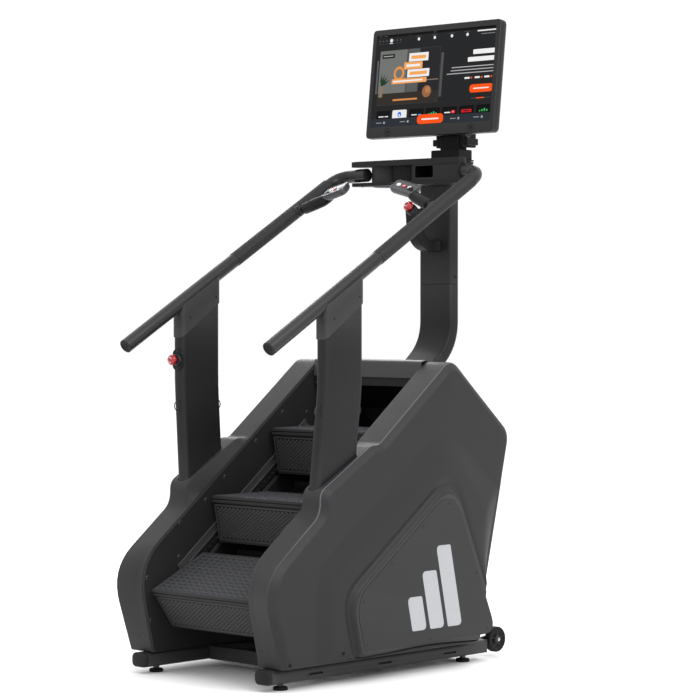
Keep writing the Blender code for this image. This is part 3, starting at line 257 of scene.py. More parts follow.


# The cover's lighter, bluish crease colour is a painted highlight.
COVER = surface("cover_plastic", (0.0140, 0.0142, 0.0152), 0.50,
                grain=(1100.0, 0.00016), wear=0.5, specular=0.26, vary=0.08,
                painted_highlight=(0.085, 0.088, 0.096))
PANEL = surface("panel_plastic", (0.0140, 0.0142, 0.0147), 0.52,
                grain=(1100.0, 0.00014), wear=0.4, specular=0.25, vary=0.06)
PAINT = surface("frame_paint", (0.0072, 0.0072, 0.0075), 0.46,
                grain=(650.0, 0.00010), wear=0.5, specular=0.20, vary=0.10)
PLATE = surface("plate_paint", (0.0030, 0.0030, 0.0032), 0.50,
                grain=(500.0, 0.00012), wear=0.3, specular=0.10)
DARK = surface("dark_plastic", (0.0040, 0.0040, 0.0042), 0.48,
               grain=(1300.0, 0.00008), wear=0.4, specular=0.14)
BEZEL = surface("bezel_plastic", (0.0060, 0.0060, 0.0063), 0.36,
                grain=(1500.0, 0.00005), wear=0.3, specular=0.28)
RUBBER = surface("rubber", (0.0060, 0.0060, 0.0060), 0.75, grain=(420.0, 0.00020),
                 specular=0.20, vary=0.2)
STEP = surface("step_plastic", (0.0034, 0.0034, 0.0038), 0.50,
               grain=(800.0, 0.00015), wear=0.6, specular=0.12, vary=0.15)
TUBE = surface("rail_tube", (0.0170, 0.0172, 0.0182), 0.36, 0.35,
               grain=(900.0, 0.00005), wear=0.2, specular=0.28)
RUBBER_GRIP = surface("grip_rubber", (0.0180, 0.0174, 0.0176), 0.50,
                      grain=(1200.0, 0.00008), specular=0.18, vary=0.10)
POD = surface("pod_plastic", (0.0210, 0.0225, 0.0255), 0.34,
              grain=(1200.0, 0.00005), wear=0.4, specular=0.45)
STEEL = surface("steel", (0.42, 0.42, 0.43), 0.32, 1.0, grain=(300.0, 0.00006),
                spread=0.10)
ZINC = surface("zinc_screw", (0.05, 0.05, 0.052), 0.35, 0.8, grain=(900.0, 0.00005))
CAST = surface("cast_metal", (0.11, 0.112, 0.118), 0.55, 0.7, grain=(350.0, 0.0003))
STEEL_DARK = surface("dark_steel", (0.060, 0.060, 0.062), 0.38, 0.85,
                     grain=(400.0, 0.00006), spread=0.10)
GUIDE = surface("guide_rail", (0.050, 0.050, 0.052), 0.42, 0.4, grain=(500.0, 0.00008),
                wear=0.4)
TREAD = surface("tread_rubber", (0.0190, 0.0200, 0.0245), 0.55, grain=(700.0, 0.00012),
                specular=0.25, wear=0.4, vary=0.15)
RISER = surface("riser_plastic", (0.0170, 0.0172, 0.0185), 0.50,
                grain=(700.0, 0.00010), specular=0.22, wear=0.4, vary=0.12)
RED = surface("red_plastic", (0.3000, 0.0040, 0.0060), 0.24, grain=(900.0, 0.00002),
              specular=0.5, coat=0.35, vary=0.10, spread=0.05)
WHITE = surface("white_plastic", (0.62, 0.62, 0.64), 0.38, grain=(900.0, 0.00003),
                vary=0.05)
SILVER = surface("silver_film", (0.34, 0.345, 0.36), 0.34, 0.25,
                 grain=(600.0, 0.00003), spread=0.04, vary=0.05)
SOCKET = surface("socket_black", (0.004, 0.004, 0.004), 0.70,
                 grain=(500.0, 0.0001), specular=0.2)
PICTURE = painted_picture("display_picture")


# ---------------------------------------------------------------- mesh tools

def piece(name, mesh, finish, body=BODY, cad=None, smooth=38.0):
    """Link a mesh as a piece that rides on a body and may stand for a CAD node.
    """
    mesh.name = name
    mesh.materials.append(finish)
    shade_smooth(mesh, smooth)
    made = bpy.data.objects.new(name, mesh)
    bpy.context.scene.collection.objects.link(made)
    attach(made, body)
    if cad:
        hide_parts(cad)
    return made


def shade_smooth(mesh, angle):
    for polygon in mesh.polygons:
        polygon.use_smooth = True
    mesh.set_sharp_from_angle(angle=math.radians(angle))


def placed(mesh, matrix):
    mesh.transform(matrix)
    return mesh


def bend_at(start, corner, end, t):
    """Point of the curve that rounds a corner between two straight lines."""
    return start * (1 - t) ** 2 + corner * 2 * t * (1 - t) + end * t ** 2


def bend(start, corner, end, steps):
    return [bend_at(start, corner, end, k / steps) for k in range(steps + 1)]


def shifted(outline, u, v):
    return [p + Vector((u, v)) for p in outline]


def welded(mesh, distance=0.00001):
    """Merge the points that lie on each other, such as a ring's seam."""
    bm = bmesh.new()
    bm.from_mesh(mesh)
    bmesh.ops.remove_doubles(bm, verts=bm.verts, dist=distance)
    return finished(bm)


def mm(*points):
    """Points given in millimetres."""
    return [tuple(value / 1000.0 for value in point) for point in points]


def finished(bm):
    bmesh.ops.recalc_face_normals(bm, faces=bm.faces)
    mesh = bpy.data.meshes.new("mesh")
    bm.to_mesh(mesh)
    bm.free()
    return mesh


def bevelled(made, width, segments=3, angle=35.0):
    modifier = made.modifiers.new("Bevel", "BEVEL")
    modifier.width = width
    modifier.segments = segments
    modifier.limit_method = "ANGLE"
    modifier.angle_limit = math.radians(angle)
    modifier.harden_normals = True
    return made


def rounded(corners, steps=8):
    """Round each (u, v, length) corner with a curve that starts `length` before it."""
    points = []
    for i, (u, v, length) in enumerate(corners):
        corner = Vector((u, v))
        before = Vector(corners[i - 1][:2]) - corner
        after = Vector(corners[(i + 1) % len(corners)][:2]) - corner
        start = corner + before.normalized() * length
        end = corner + after.normalized() * length
        points += bend(start, corner, end, steps)
    return points


def divided(points, steps_per_corner, parts):
    """Split the straight edge after each rounded corner into its own number of parts."""
    full = []
    for i, point in enumerate(points):
        full.append(point)
        corner, place = divmod(i, steps_per_corner + 1)
        if place == steps_per_corner:
            ahead = points[(i + 1) % len(points)]
            full += [point.lerp(ahead, k / parts[corner]) for k in range(1, parts[corner])]
    return full


def offset_corners(corners, distance):
    """Move every corner of a clockwise outline inwards by the same distance."""
    moved = []
    for i, (u, v, length) in enumerate(corners):
        corner = Vector((u, v))
        back = (corner - Vector(corners[i - 1][:2])).normalized()
        ahead = (Vector(corners[(i + 1) % len(corners)][:2]) - corner).normalized()
        normal_a = Vector((back.y, -back.x))
        normal_b = Vector((ahead.y, -ahead.x))
        shift = (normal_a + normal_b) / (1.0 + normal_a.dot(normal_b))
        place = corner + shift * distance
        moved.append((place.x, place.y, length))
    return moved


def rectangle(width, height, radius, steps=4):
    w = width / 2.0
    h = height / 2.0
    return rounded([(u, v, radius) for u, v in ((-w, -h), (-w, h), (w, h), (w, -h))], steps)


def circle(centre, radius, sides=32):
    return [Vector((centre[0] + radius * math.cos(math.tau * i / sides),
                    centre[1] + radius * math.sin(math.tau * i / sides))) for i in range(sides)]


def loft(rings, close_start=True, close_end=True, open_from=None, open_bands=0, closed=True,
         ridges=None):
    """Skin a row of rings that all have the same number of points.

    The first `open_bands` bands have no faces from point `open_from` of the ring on.
    `ridges` gives each ring a share of a painted highlight along the creases, fading towards the
    floor.
    """
    bm = bmesh.new()
    layer = bm.verts.layers.float.new("painted_highlight") if ridges else None
    rows = [[bm.verts.new(point) for point in ring] for ring in rings]
    # Painted highlight along the creases, weaker towards the floor.
    if ridges:
        for row, share in zip(rows, ridges):
            for vert in row:
                vert[layer] = share * min(1.0, max(0.20, (vert.co.z - 0.10) / 0.45))
    count = len(rows[0])
    spans = count if closed else count - 1
    for band, (lower, upper) in enumerate(zip(rows, rows[1:])):
        for i in range(open_from if band < open_bands else spans):
            j = (i + 1) % count
            bm.faces.new((lower[i], lower[j], upper[j], upper[i]))
    bmesh.ops.delete(bm, geom=[v for v in bm.verts if not v.link_faces], context="VERTS")
    if close_start:
        bm.faces.new(rows[0])
    if close_end:
        bm.faces.new(rows[-1])
    return finished(bm)


def turned(profile, sides=40):
    """Spin (radius, height) points about Z."""
    return loft(spun_rings(profile, sides))


def spun_rings(profile, sides):
    return [[p.to_3d() + Vector((0.0, 0.0, height)) for p in circle((0.0, 0.0), radius, sides)]
            for radius, height in profile]


def turned_ring(profile, sides=40):
    """Spin a closed (radius, height) outline about Z, leaving its hole open."""
    return welded(loft(spun_rings([*profile, profile[0]], sides), False, False))


def block(size, centre, turn=None):
    bm = bmesh.new()
    matrix = Matrix.Translation(centre)
    if turn is not None:
        matrix = matrix @ turn
    bmesh.ops.create_cube(bm, size=1.0, matrix=matrix @ Matrix.Diagonal((*size, 1.0)))
    return finished(bm)


def extruded(outline, low, high, matrix=None, holes=()):
    """A flat outline with holes, pushed from `low` to `high` along its plane's normal."""
    curve = bpy.data.curves.new("outline", "CURVE")
    curve.dimensions = "2D"
    curve.fill_mode = "BOTH"
    curve.extrude = (high - low) / 2.0
    for points in [outline, *holes]:
        spline = curve.splines.new("POLY")
        spline.points.add(len(points) - 1)
        for point, (u, v) in zip(spline.points, points):
            point.co = (u, v, 0.0, 1.0)
        spline.use_cyclic_u = True
    holder = bpy.data.objects.new("outline", curve)
    bpy.context.scene.collection.objects.link(holder)
    bpy.context.view_layer.update()
    evaluated = holder.evaluated_get(bpy.context.evaluated_depsgraph_get())
    mesh = bpy.data.meshes.new_from_object(evaluated)
    bpy.data.objects.remove(holder)
    place = Matrix.Translation((0.0, 0.0, (high + low) / 2.0))
    mesh.transform(place if matrix is None else matrix @ place)
    return welded(mesh, 0.00002)


def joined(meshes):
    bm = bmesh.new()
    for mesh in meshes:
        bm.from_mesh(mesh)
    return finished(bm)


def cut(made, cutter_mesh):
    """Take a mesh away from a piece at once, and drop the cutter."""
    cutter = bpy.data.objects.new("cutter", cutter_mesh)
    bpy.context.scene.collection.objects.link(cutter)
    modifier = made.modifiers.new("Boolean", "BOOLEAN")
    modifier.operation = "DIFFERENCE"
    modifier.object = cutter
    modifier.solver = "EXACT"
    bpy.context.view_layer.update()
    evaluated = made.evaluated_get(bpy.context.evaluated_depsgraph_get())
    mesh = bpy.data.meshes.new_from_object(evaluated)
    made.modifiers.clear()
    made.data = mesh
    bpy.data.objects.remove(cutter)
    shade_smooth(mesh, 35.0)
    return made


def side_plane(x):
    """Matrix that lays an outline of (y, z) points on the plane at this x."""
    return Matrix(((0, 0, 1, x), (1, 0, 0, 0), (0, 1, 0, 0), (0, 0, 0, 1)))


def front_plane(y):
    """Matrix that lays an outline of (x, z) points at this y, facing -Y."""
    return Matrix(((1, 0, 0, 0), (0, 0, -1, y), (0, 1, 0, 0), (0, 0, 0, 1)))


def facing(place, direction):
    """Matrix at a place whose Z points along a direction."""
    z = Vector(direction).normalized()
    x = Vector((0.0, 0.0, 1.0)).cross(z)
    if x.length < 1e-4:
        x = Vector((1.0, 0.0, 0.0))
    x.normalize()
    y = z.cross(x)
    turn = Matrix((x, y, z)).transposed().to_4x4()
    return Matrix.Translation(place) @ turn


def swept(path, radius, sides=28, caps=True, radii=None):
    """A round bar along a path; `radii` gives each of its points its own radius."""
    rings = []
    side_vector = None
    for i, place in enumerate(path):
        ahead = path[min(i + 1, len(path) - 1)] - path[max(i - 1, 0)]
        ahead.normalize()
        if side_vector is None:
            side_vector = ahead.orthogonal().normalized()
        side_vector = (side_vector - ahead * side_vector.dot(ahead)).normalized()
        other = ahead.cross(side_vector)
        r = radii[i] if radii else radius
        rings.append([place + side_vector * r * math.cos(math.tau * k / sides)
                      + other * r * math.sin(math.tau * k / sides) for k in range(sides)])
    return loft(rings, caps, caps)


def screws(name, places, radius=0.0042, height=0.0016, body=BODY, finish=ZINC):
    """Domed socket-head screws at (place, direction) pairs, as one piece."""
    recess = radius * 0.42
    profile = [(radius, -0.001), (radius, height * 0.3), (radius * 0.86, height * 0.8),
               (radius * 0.6, height), (recess, height), (recess * 0.9, -0.0002)]
    meshes = [placed(turned(profile, 20), facing(place, direction))
              for place, direction in places]
    piece(name, joined(meshes), finish, body)


def rim_z(y):
    return RIM_AT_ORIGIN + RIM_SLOPE * y


def rear_slope_z(y):
    return REAR_SLOPE_AT_ORIGIN + REAR_SLOPE * y


def rear_y(z):
    return REAR_AT_FLOOR + REAR_LEAN * z


def handrail_z(y):
    return HANDRAIL_END[1] + HANDRAIL_SLOPE * (y - HANDRAIL_END[0])


PEAK_Y = (REAR_SLOPE_AT_ORIGIN - RIM_AT_ORIGIN) / (RIM_SLOPE - REAR_SLOPE)
REAR_CORNER_Y = (REAR_AT_FLOOR + REAR_LEAN * REAR_SLOPE_AT_ORIGIN) / (1.0 - REAR_LEAN * REAR_SLOPE)


# ---------------------------------------------------------------- covers

ARC = 8
PARTS = (12, 10, 4, 14, 3, 16, 14, 24, 44)


def cover_corners(knee_y, with_collar):
    """Side cover outline, clockwise seen from +X: leg, rim, collar, peak and rear edge."""
    front = [(-0.562, COVER_BOTTOM, 0.006), (knee_y, rim_z(knee_y), 0.110)]
    if with_collar:
        collar = [(-0.400, rim_z(-0.400), 0.035), (-0.3995, 0.583, 0.024),
                  (-0.1785, 0.713, 0.014), (-0.1446, 0.713, 0.012)]
    else:
        collar = [(-0.400, rim_z(-0.400), 0.035), (-0.350, rim_z(-0.350), 0.012),
                  (-0.190, rim_z(-0.190), 0.012), (-0.1446, rim_z(-0.1446), 0.012)]
    rear = [(PEAK_Y, rim_z(PEAK_Y), 0.040), (REAR_CORNER_Y, rear_slope_z(REAR_CORNER_Y), 0.034),
            (rear_y(COVER_BOTTOM), COVER_BOTTOM, 0.006)]
    return front + collar + rear


def ring_of(corners):
    return divided(rounded(corners, ARC), ARC, PARTS)


def ray_to_outline(outline, centre, direction):
    """Where a ray from inside a closed outline leaves it."""
    best = None
    for a, b in zip(outline, outline[1:] + outline[:1]):
        edge = b - a
        turn = direction.x * edge.y - direction.y * edge.x
        if abs(turn) < 1e-9:
            continue
        gap = a - centre
        distance = (gap.x * edge.y - gap.y * edge.x) / turn
        share = (gap.x * direction.y - gap.y * direction.x) / turn
        if distance > 0.0 and -1e-6 <= share <= 1.0 + 1e-6:
            best = distance if best is None else max(best, distance)
    return best


SOFT_STEPS = 5
OPEN_BANDS = 3 * (SOFT_STEPS + 1)
BOSS_CENTRE = Vector((0.04, 0.26))
BOTTOM_LIMIT = COVER_BOTTOM + 0.004


def boss_outline(outer_ring, grow, inset=0.0):
    """The panel's outline, grown, with a point for each point of the outer ring."""
    outline = rounded(offset_corners(PANEL_CORNERS, -grow), 12)
    return reach_to(outline, outer_ring, inset)


def reach_to(outline, outer_ring, inset):
    """Points of an outline seen from the boss's middle, kept inside the outer ring."""
    found = []
    for point in outer_ring:
        way = point - BOSS_CENTRE
        reach = way.length - inset
        way.normalize()
        reach = min(ray_to_outline(outline, BOSS_CENTRE, way), reach)
        place = BOSS_CENTRE + way * reach
        place.y = max(place.y, BOTTOM_LIMIT + inset * 0.3)
        found.append(place)
    return found


def soft_path(points, lengths, steps=SOFT_STEPS):
    """Round the inner corners of an open line, always with the same number of points."""
    full = [points[0]]
    for i in range(1, len(points) - 1):
        before = points[i - 1] - points[i]
        after = points[i + 1] - points[i]
        reach = min(lengths[i], before.length * 0.48, after.length * 0.48)
        start = points[i] + before.normalized() * reach if before.length > 1e-7 else points[i]
        end = points[i] + after.normalized() * reach if after.length > 1e-7 else points[i]
        full += bend(start, points[i], end, steps)
    return full + [points[-1]]


def shoulder_corners(corners, distance):
    """The crease outline moved inwards, but with its foot kept near the floor edge."""
    moved = offset_corners(corners, distance)
    moved[0] = (corners[0][0] + distance, BOTTOM_LIMIT, 0.006)
    moved[-1] = (corners[-1][0] - distance, BOTTOM_LIMIT, 0.006)
    return moved


def cover_profiles():
    """For every point round the cover, its line from the inner lip to the boss."""
    inner_corners = cover_corners(KNEE_INNER_Y, False)
    crease_corners = cover_corners(KNEE_CREASE_Y, True)
    lip = ring_of(shoulder_corners(inner_corners, 0.010))
    inner = ring_of(inner_corners)
    collar = ring_of(cover_corners(KNEE_INNER_Y - 0.003, True))
    crease = ring_of(crease_corners)
    shoulder = ring_of(shoulder_corners(crease_corners, 0.020))
    fold = reach_to(rounded(FOLD_CORNERS, 14), shoulder, 0.016)
    boss = {grow: boss_outline(shoulder, grow, inset)
            for grow, inset in ((0.042, 0.014), (0.026, 0.018), (0.016, 0.022), (0.011, 0.026),
                                (-0.001, 0.030))}
    ramp = [a.lerp(b, 0.5) for a, b in zip(fold, boss[0.042])]
    layers = [(COVER_INNER_X, lip), (COVER_INNER_X, inner), (COLLAR_X, collar),
              (CREASE_X, crease), (SHOULDER_X, shoulder), (0.3500, fold), (0.3660, ramp),
              (0.3690, boss[0.042]), (0.3640, boss[0.026]), (0.3785, boss[0.016]),
              (BOSS_TOP_X, boss[0.011]), (BOSS_TOP_X, boss[-0.001])]
    softness = [0, 0.0020, 0.004, 0.0038, 0.008, 0.010, 0.022, 0.010, 0.008, 0.005, 0.004, 0]
    starts = [0]
    for parts in PARTS:
        starts.append(starts[-1] + ARC + parts)
    rear_start = starts[6]
    rear_full = starts[7]
    profiles = []
    for i in range(len(inner)):
        points = [Vector((x, ring[i].x, ring[i].y)) for x, ring in layers]
        lengths = list(softness)
        share = min(1.0, max(0.0, (i - rear_start) / (rear_full - rear_start)))
        lengths[3] += 0.016 * share
        lengths[4] += 0.008 * share
        profiles.append(soft_path(points, lengths))
    return profiles


def post_ring(y_shift, x_shift, z_middle, slope, grow, side, steps=6):
    """Flat-oval section of a post, cut on a slant along Y."""
    section = rectangle(POST_WIDTH + 2 * grow, POST_DEPTH + 2 * grow, 0.017 + grow, steps)
    return [Vector((side * (HANDRAIL_X + x_shift) + p.x, POST_CENTRE_Y + y_shift + p.y,
                    z_middle + slope * p.y)) for p in section]


def post_place(z):
    """How far a post leans in y and x at this height, eased round its bend."""
    low = POST_BEND_Z - POST_BEND_REACH
    high = POST_BEND_Z + POST_BEND_REACH
    share = 0.0
    if z <= low:
        share = (POST_BEND_Z - z) / POST_LEAN_HEIGHT
    elif z < high:
        share = (high - z) ** 2 / (4 * POST_BEND_REACH * POST_LEAN_HEIGHT)
    return -0.008 * share, -0.026 * share


def painted_highlight_shares(rows):
    """How strongly each row of the cover's profile takes the painted highlight along its creases.
    """
    shares = [0.0] * rows
    for layer, strength in ((1, 0.40), (2, 0.25), (3, 0.90), (5, 0.30)):
        first = 1 + (layer - 1) * (SOFT_STEPS + 1)
        for k in range(1, SOFT_STEPS):
            shares[first + k] = strength * math.sin(math.pi * k / SOFT_STEPS)
    return shares


def make_side_covers():
    profiles = cover_profiles()
    rows = len(profiles[0])
    foot_start = len(profiles) - PARTS[-1]
    for name, side in SIDES:
        rings = [[Vector((side * p[k].x, p[k].y, p[k].z)) for p in profiles]
                 for k in range(rows)]
        # Each profile row gets its share of the painted crease highlight.
        mesh = loft(rings, False, False, foot_start, OPEN_BANDS, True, painted_highlight_shares(rows))
        shell = piece("cover_shell_" + name, mesh, COVER, cad="side_cover_" + name, smooth=50.0)
        thickness = shell.modifiers.new("Solidify", "SOLIDIFY")
        thickness.thickness = 0.003
        thickness.offset = -1.0
        shifts = post_place(0.50)
        hole = loft([post_ring(*shifts, 0.50, 0.0, 0.0022, side), post_ring(0, 0, 0.886, 0, 0.0022,
                                                                           side)])
        cut(shell, hole)
        shell.data.set_sharp_from_angle(angle=math.radians(50.0))
        outline = rounded(PANEL_CORNERS, 10)
        x = side * (BOSS_TOP_X + 0.0003)
        edge = side * PANEL_FACE_X
        low, high = min(x, edge), max(x, edge)
        mesh = extruded(outline, low, high, side_plane(0.0))
        panel = piece("panel_" + name, mesh, PANEL, cad="access_panel_" + name)
        bevelled(panel, 0.0009, 2)


def sleeve(outer, inner):
    """A tube wall between matching rings: up the outside and back down the inside."""
    return welded(loft([*outer, *reversed(inner), outer[0]], False, False))


def stadium(width, height, steps=8):
    return rectangle(width, height, min(width, height) * 0.48, steps)


# ---------------------------------------------------------------- posts and handrails

def make_posts():
    rail_middle = handrail_z(POST_CENTRE_Y)
    levels = (0.470, 0.600, 0.720, 0.800, 0.841, 0.864, 0.886, 0.908, 0.931, 1.000, 1.060)
    for name, side in SIDES:
        rings = [post_ring(*post_place(z), z, 0.0, 0.0, side) for z in levels]
        rings.append(post_ring(0.0, 0.0, rail_middle - 0.030, HANDRAIL_SLOPE, 0.0, side))
        piece("post_tube_" + name, loft(rings), PAINT, cad="post_" + name)
        bracket_x = side * (SIDE_PLATE_OUTER_X + 0.020)
        bracket = block((0.040, 0.100, 0.050), (bracket_x, POST_CENTRE_Y - 0.010, 0.475))
        bevelled(piece("post_bracket_" + name, bracket, PLATE), 0.003)
        wall = 0.0033
        low = rail_middle - 0.092
        outer = [post_ring(0.0, 0.0, low, 0.675, wall, side),
                 post_ring(0.0, 0.0, rail_middle - 0.040, 0.62, wall, side),
                 post_ring(0.0, 0.0, rail_middle + 0.001, HANDRAIL_SLOPE, wall, side)]
        inner = [post_ring(0.0, 0.0, low, 0.675, 0.0003, side),
                 post_ring(0.0, 0.0, rail_middle + 0.001, HANDRAIL_SLOPE, 0.0003, side)]
        cap = piece("post_cap_sleeve_" + name, sleeve(outer, inner), COVER, cad="post_cap_" + name)
        start = Vector((side * HANDRAIL_X, -0.66, handrail_z(-0.66)))
        end = Vector((side * HANDRAIL_X, 0.27, handrail_z(0.27)))
        cut(cap, swept([start, end], HANDRAIL_RADIUS + 0.0004, 48))
        bevelled(cap, 0.0008, 2, 30.0)
        cap_screws = []
        for y in (-0.349, -0.238):
            for face in (-1, 1):
                x = side * HANDRAIL_X + face * (POST_WIDTH / 2.0 + wall)
                cap_screws.append((Vector((x, y, handrail_z(y) - 0.057)), (face, 0.0, 0.0)))
        screws("post_cap_screws_" + name, cap_screws, 0.0034, 0.0008, BODY, SOCKET)
        make_tie_rings(name, side)


def make_tie_rings(name, side):
    """Wire rings through the front and rear edges of a post."""
    y_shift, x_shift = post_place(TIE_RING_Z)
    meshes = []
    for edge in (-1, 1):
        y = POST_CENTRE_Y + y_shift + edge * (POST_DEPTH / 2.0 + 0.002)
        middle = Vector((side * (HANDRAIL_X + x_shift), y, TIE_RING_Z))
        path = [middle + Vector((0.0, 0.0155 * math.cos(a), 0.0155 * math.sin(a)))
                for a in [math.tau * i / 40 for i in range(40)]]
        meshes.append(closed_wire(path, 0.0017))
        for height in (-0.0150, 0.0150):
            eye = turned([(0.0038, -0.002), (0.0038, 0.0008), (0.0030, 0.0016), (0.0022, 0.0016)],
                         16)
            place = middle + Vector((0.0, -edge * 0.002, height))
            eye.transform(facing(place, (0.0, edge, 0.0)))
            meshes.append(eye)
    piece("tie_rings_" + name, joined(meshes), TUBE)


def closed_wire(path, radius, sides=10):
    """A thin round wire bent into a closed loop."""
    count = len(path)
    rings = []
    centre = sum(path, Vector()) / count
    for i, place in enumerate(path):
        out = (place - centre).normalized()
        ahead = (path[(i + 1) % count] - path[i - 1]).normalized()
        up = out.cross(ahead)
        rings.append([place + (out * math.cos(math.tau * k / sides)
                               + up * math.sin(math.tau * k / sides)) * radius
                      for k in range(sides)])
    return welded(loft(rings + rings[:1], False, False))


def handrail_path(side, steps=20):
    corner = Vector((side * HANDRAIL_X, HANDRAIL_CORNER_Y, handrail_z(HANDRAIL_CORNER_Y)))
    start = Vector((side * HANDRAIL_X, *HANDRAIL_END))
    end = Vector((side * HANDRAIL_INNER_X[side], HANDRAIL_CORNER_Y + 0.002, HANDRAIL_INNER_Z))
    first = corner + (start - corner).normalized() * HANDRAIL_BEND
    last = corner + (end - corner).normalized() * HANDRAIL_BEND
    return [start, start.lerp(first, 0.5), *bend(first, corner, last, steps), end]


def make_handrails():
    for name, side in SIDES:
        path = handrail_path(side)
        piece("handrail_tube_" + name, swept(path, HANDRAIL_RADIUS, 40), TUBE,
              cad="handrail_" + name)
        along = (path[1] - path[0]).normalized()
        plug = turned([(0.0205, 0.0), (0.0212, 0.0006), (0.0200, 0.0016), (0.0165, 0.0018),
                       (0.0160, 0.0006), (0.0085, 0.0004), (0.0082, 0.0012), (0.0072, 0.0012),
                       (0.0070, 0.0004)], 40)
        plug.transform(facing(path[0], -along))
        piece("handrail_plug_" + name, plug, DARK)
        make_rail_sleeve(name, path, along)


def make_rail_sleeve(name, path, along):
    """Finely ribbed grip sleeve from above the post to the start of the bend."""
    low = path[0] + along * ((RIBS_START_Y - path[0].y) / along.y)
    length = (path[2] - low).length
    ribs = int(length / RIB_SPACING)
    places = [low - along * 0.0004, low]
    radii = [HANDRAIL_RADIUS + 0.0002, HANDRAIL_RADIUS + 0.0012]
    for k in range(ribs):
        for share, grow in ((0.25, 0.0012), (0.5, 0.0006), (0.75, 0.0006), (1.0, 0.0012)):
            places.append(low + along * RIB_SPACING * (k + share))
            radii.append(HANDRAIL_RADIUS + grow)
    places.append(places[-1] + along * 0.0004)
    radii.append(HANDRAIL_RADIUS + 0.0002)
    sleeve_piece = piece("rail_sleeve_" + name, swept(places, 0.0, 40, False, radii), RUBBER_GRIP,
                         smooth=60.0)
    return sleeve_piece


# ---------------------------------------------------------------- grips and their keys

def pod_matrix(side):
    """Place of a control pod: its top leans towards the climber and rises inwards."""
    return (Matrix.Translation((side * POD_CENTRE.x, POD_CENTRE.y, POD_CENTRE.z))
            @ Matrix.Rotation(side * math.radians(14.0), 4, "Y")
            @ Matrix.Rotation(math.radians(34.0), 4, "X"))


def mirrored(point, side):
    return Vector((side * point.x, point.y, point.z))


def make_grips():
    for name, side in SIDES:
        root = mirrored(GRIP_ROOT, side)
        tip = mirrored(GRIP_TIP, side)
        head = Vector((side * (POD_CENTRE.x + 0.020), POD_CENTRE.y, POD_CENTRE.z - 0.004))
        way = (tip - root).normalized()
        neck_start = root + way * 0.014
        bar_start = root + way * 0.044
        line = [neck_start, root + way * 0.036, root + way * 0.036, root + way * 0.040,
                bar_start, bar_start + way * 0.002, root.lerp(tip, 0.60), root.lerp(tip, 0.85)]
        radii = [0.0125, 0.0125, 0.0105, 0.0105, 0.0165, 0.0184, 0.0190, 0.0188]
        line += bend(root.lerp(tip, 0.85), tip, head, 8)[1:]
        radii += [0.0188 - 0.0028 * k / 8 for k in range(1, 9)]
        bar = piece("grip_bar_" + name, swept(line, 0.0, 36, True, radii), DARK,
                    cad="grip_" + name)
        start = Vector((side * HANDRAIL_X, -0.1, handrail_z(-0.1)))
        end = Vector((side * HANDRAIL_X, 0.30, handrail_z(0.30)))
        collar = swept([root + way * 0.002, root + way * 0.0235, root + way * 0.0255], 0.0, 32,
                       True, [0.0185, 0.0185, 0.0165])
        saddle = piece("grip_saddle_" + name, collar, DARK)
        cut(saddle, swept([start, end], HANDRAIL_RADIUS + 0.0014, 48))
        make_pod(name, side)
        bar.data.set_sharp_from_angle(angle=math.radians(50.0))


def make_pod(name, side):
    """Flat key housing with a raised frame, and three keys that press in."""
    width, depth, height = POD_SIZE
    half = height / 2.0

    def ring(shrink, level, radius=0.014):
        return [Vector((p.x, p.y, level))
                for p in rectangle(width - shrink, depth - shrink, radius, 6)]

    layers = [ring(0.030, -half), ring(0.014, -half + 0.001), ring(0.006, -half + 0.005),
              ring(0.001, -half + 0.011), ring(0.0, 0.002), ring(0.0, half - 0.0022),
              ring(0.0012, half - 0.0008), ring(0.0040, half - 0.0001), ring(0.0062, half - 0.0002),
              ring(0.0070, half - 0.0010, 0.012)]
    pod = piece("pod_shell_" + name, loft(layers), POD)
    pod.matrix_world = pod_matrix(side)
    wells = []
    for offset in KEY_OFFSETS:
        well = turned([(0.0079, -0.004), (0.0079, 0.006)], 32)
        well.transform(Matrix.Translation((side * offset, 0.0, half)))
        wells.append(well)
    cut(pod, joined(wells))
    glyphs = (("faster_key_", "speed_up_button_", WHITE, 1),
              ("stop_key_", "stop_button_", RED, 0),
              ("slower_key_", "speed_down_button_", WHITE, -1))
    for offset, (body, cad, finish, arrow) in zip(KEY_OFFSETS, glyphs):
        key = turned([(0.0072, -0.0028), (0.0072, 0.0008), (0.0068, 0.0015), (0.0055, 0.0020),
                      (0.0050, 0.0020), (0.0046, 0.0016), (0.0, 0.0014)], 36)
        made = piece(cad + name + "_key", key, finish, body + name, cad + name)
        made.matrix_world = pod_matrix(side) @ Matrix.Translation((side * offset, 0.0, half))
        if arrow:
            outline = [Vector(p) for p in ((-0.0026, -0.0012 * arrow), (0.0, 0.0016 * arrow),
                                           (0.0026, -0.0012 * arrow))]
        else:
            outline = rectangle(0.0040, 0.0040, 0.0004, 2)
        mark = extruded(outline, 0.0009, 0.0018)
        sign = piece(cad + name + "_sign", mark, DARK if arrow else WHITE, body + name)
        sign.matrix_world = made.matrix_world


# ---------------------------------------------------------------- stop buttons

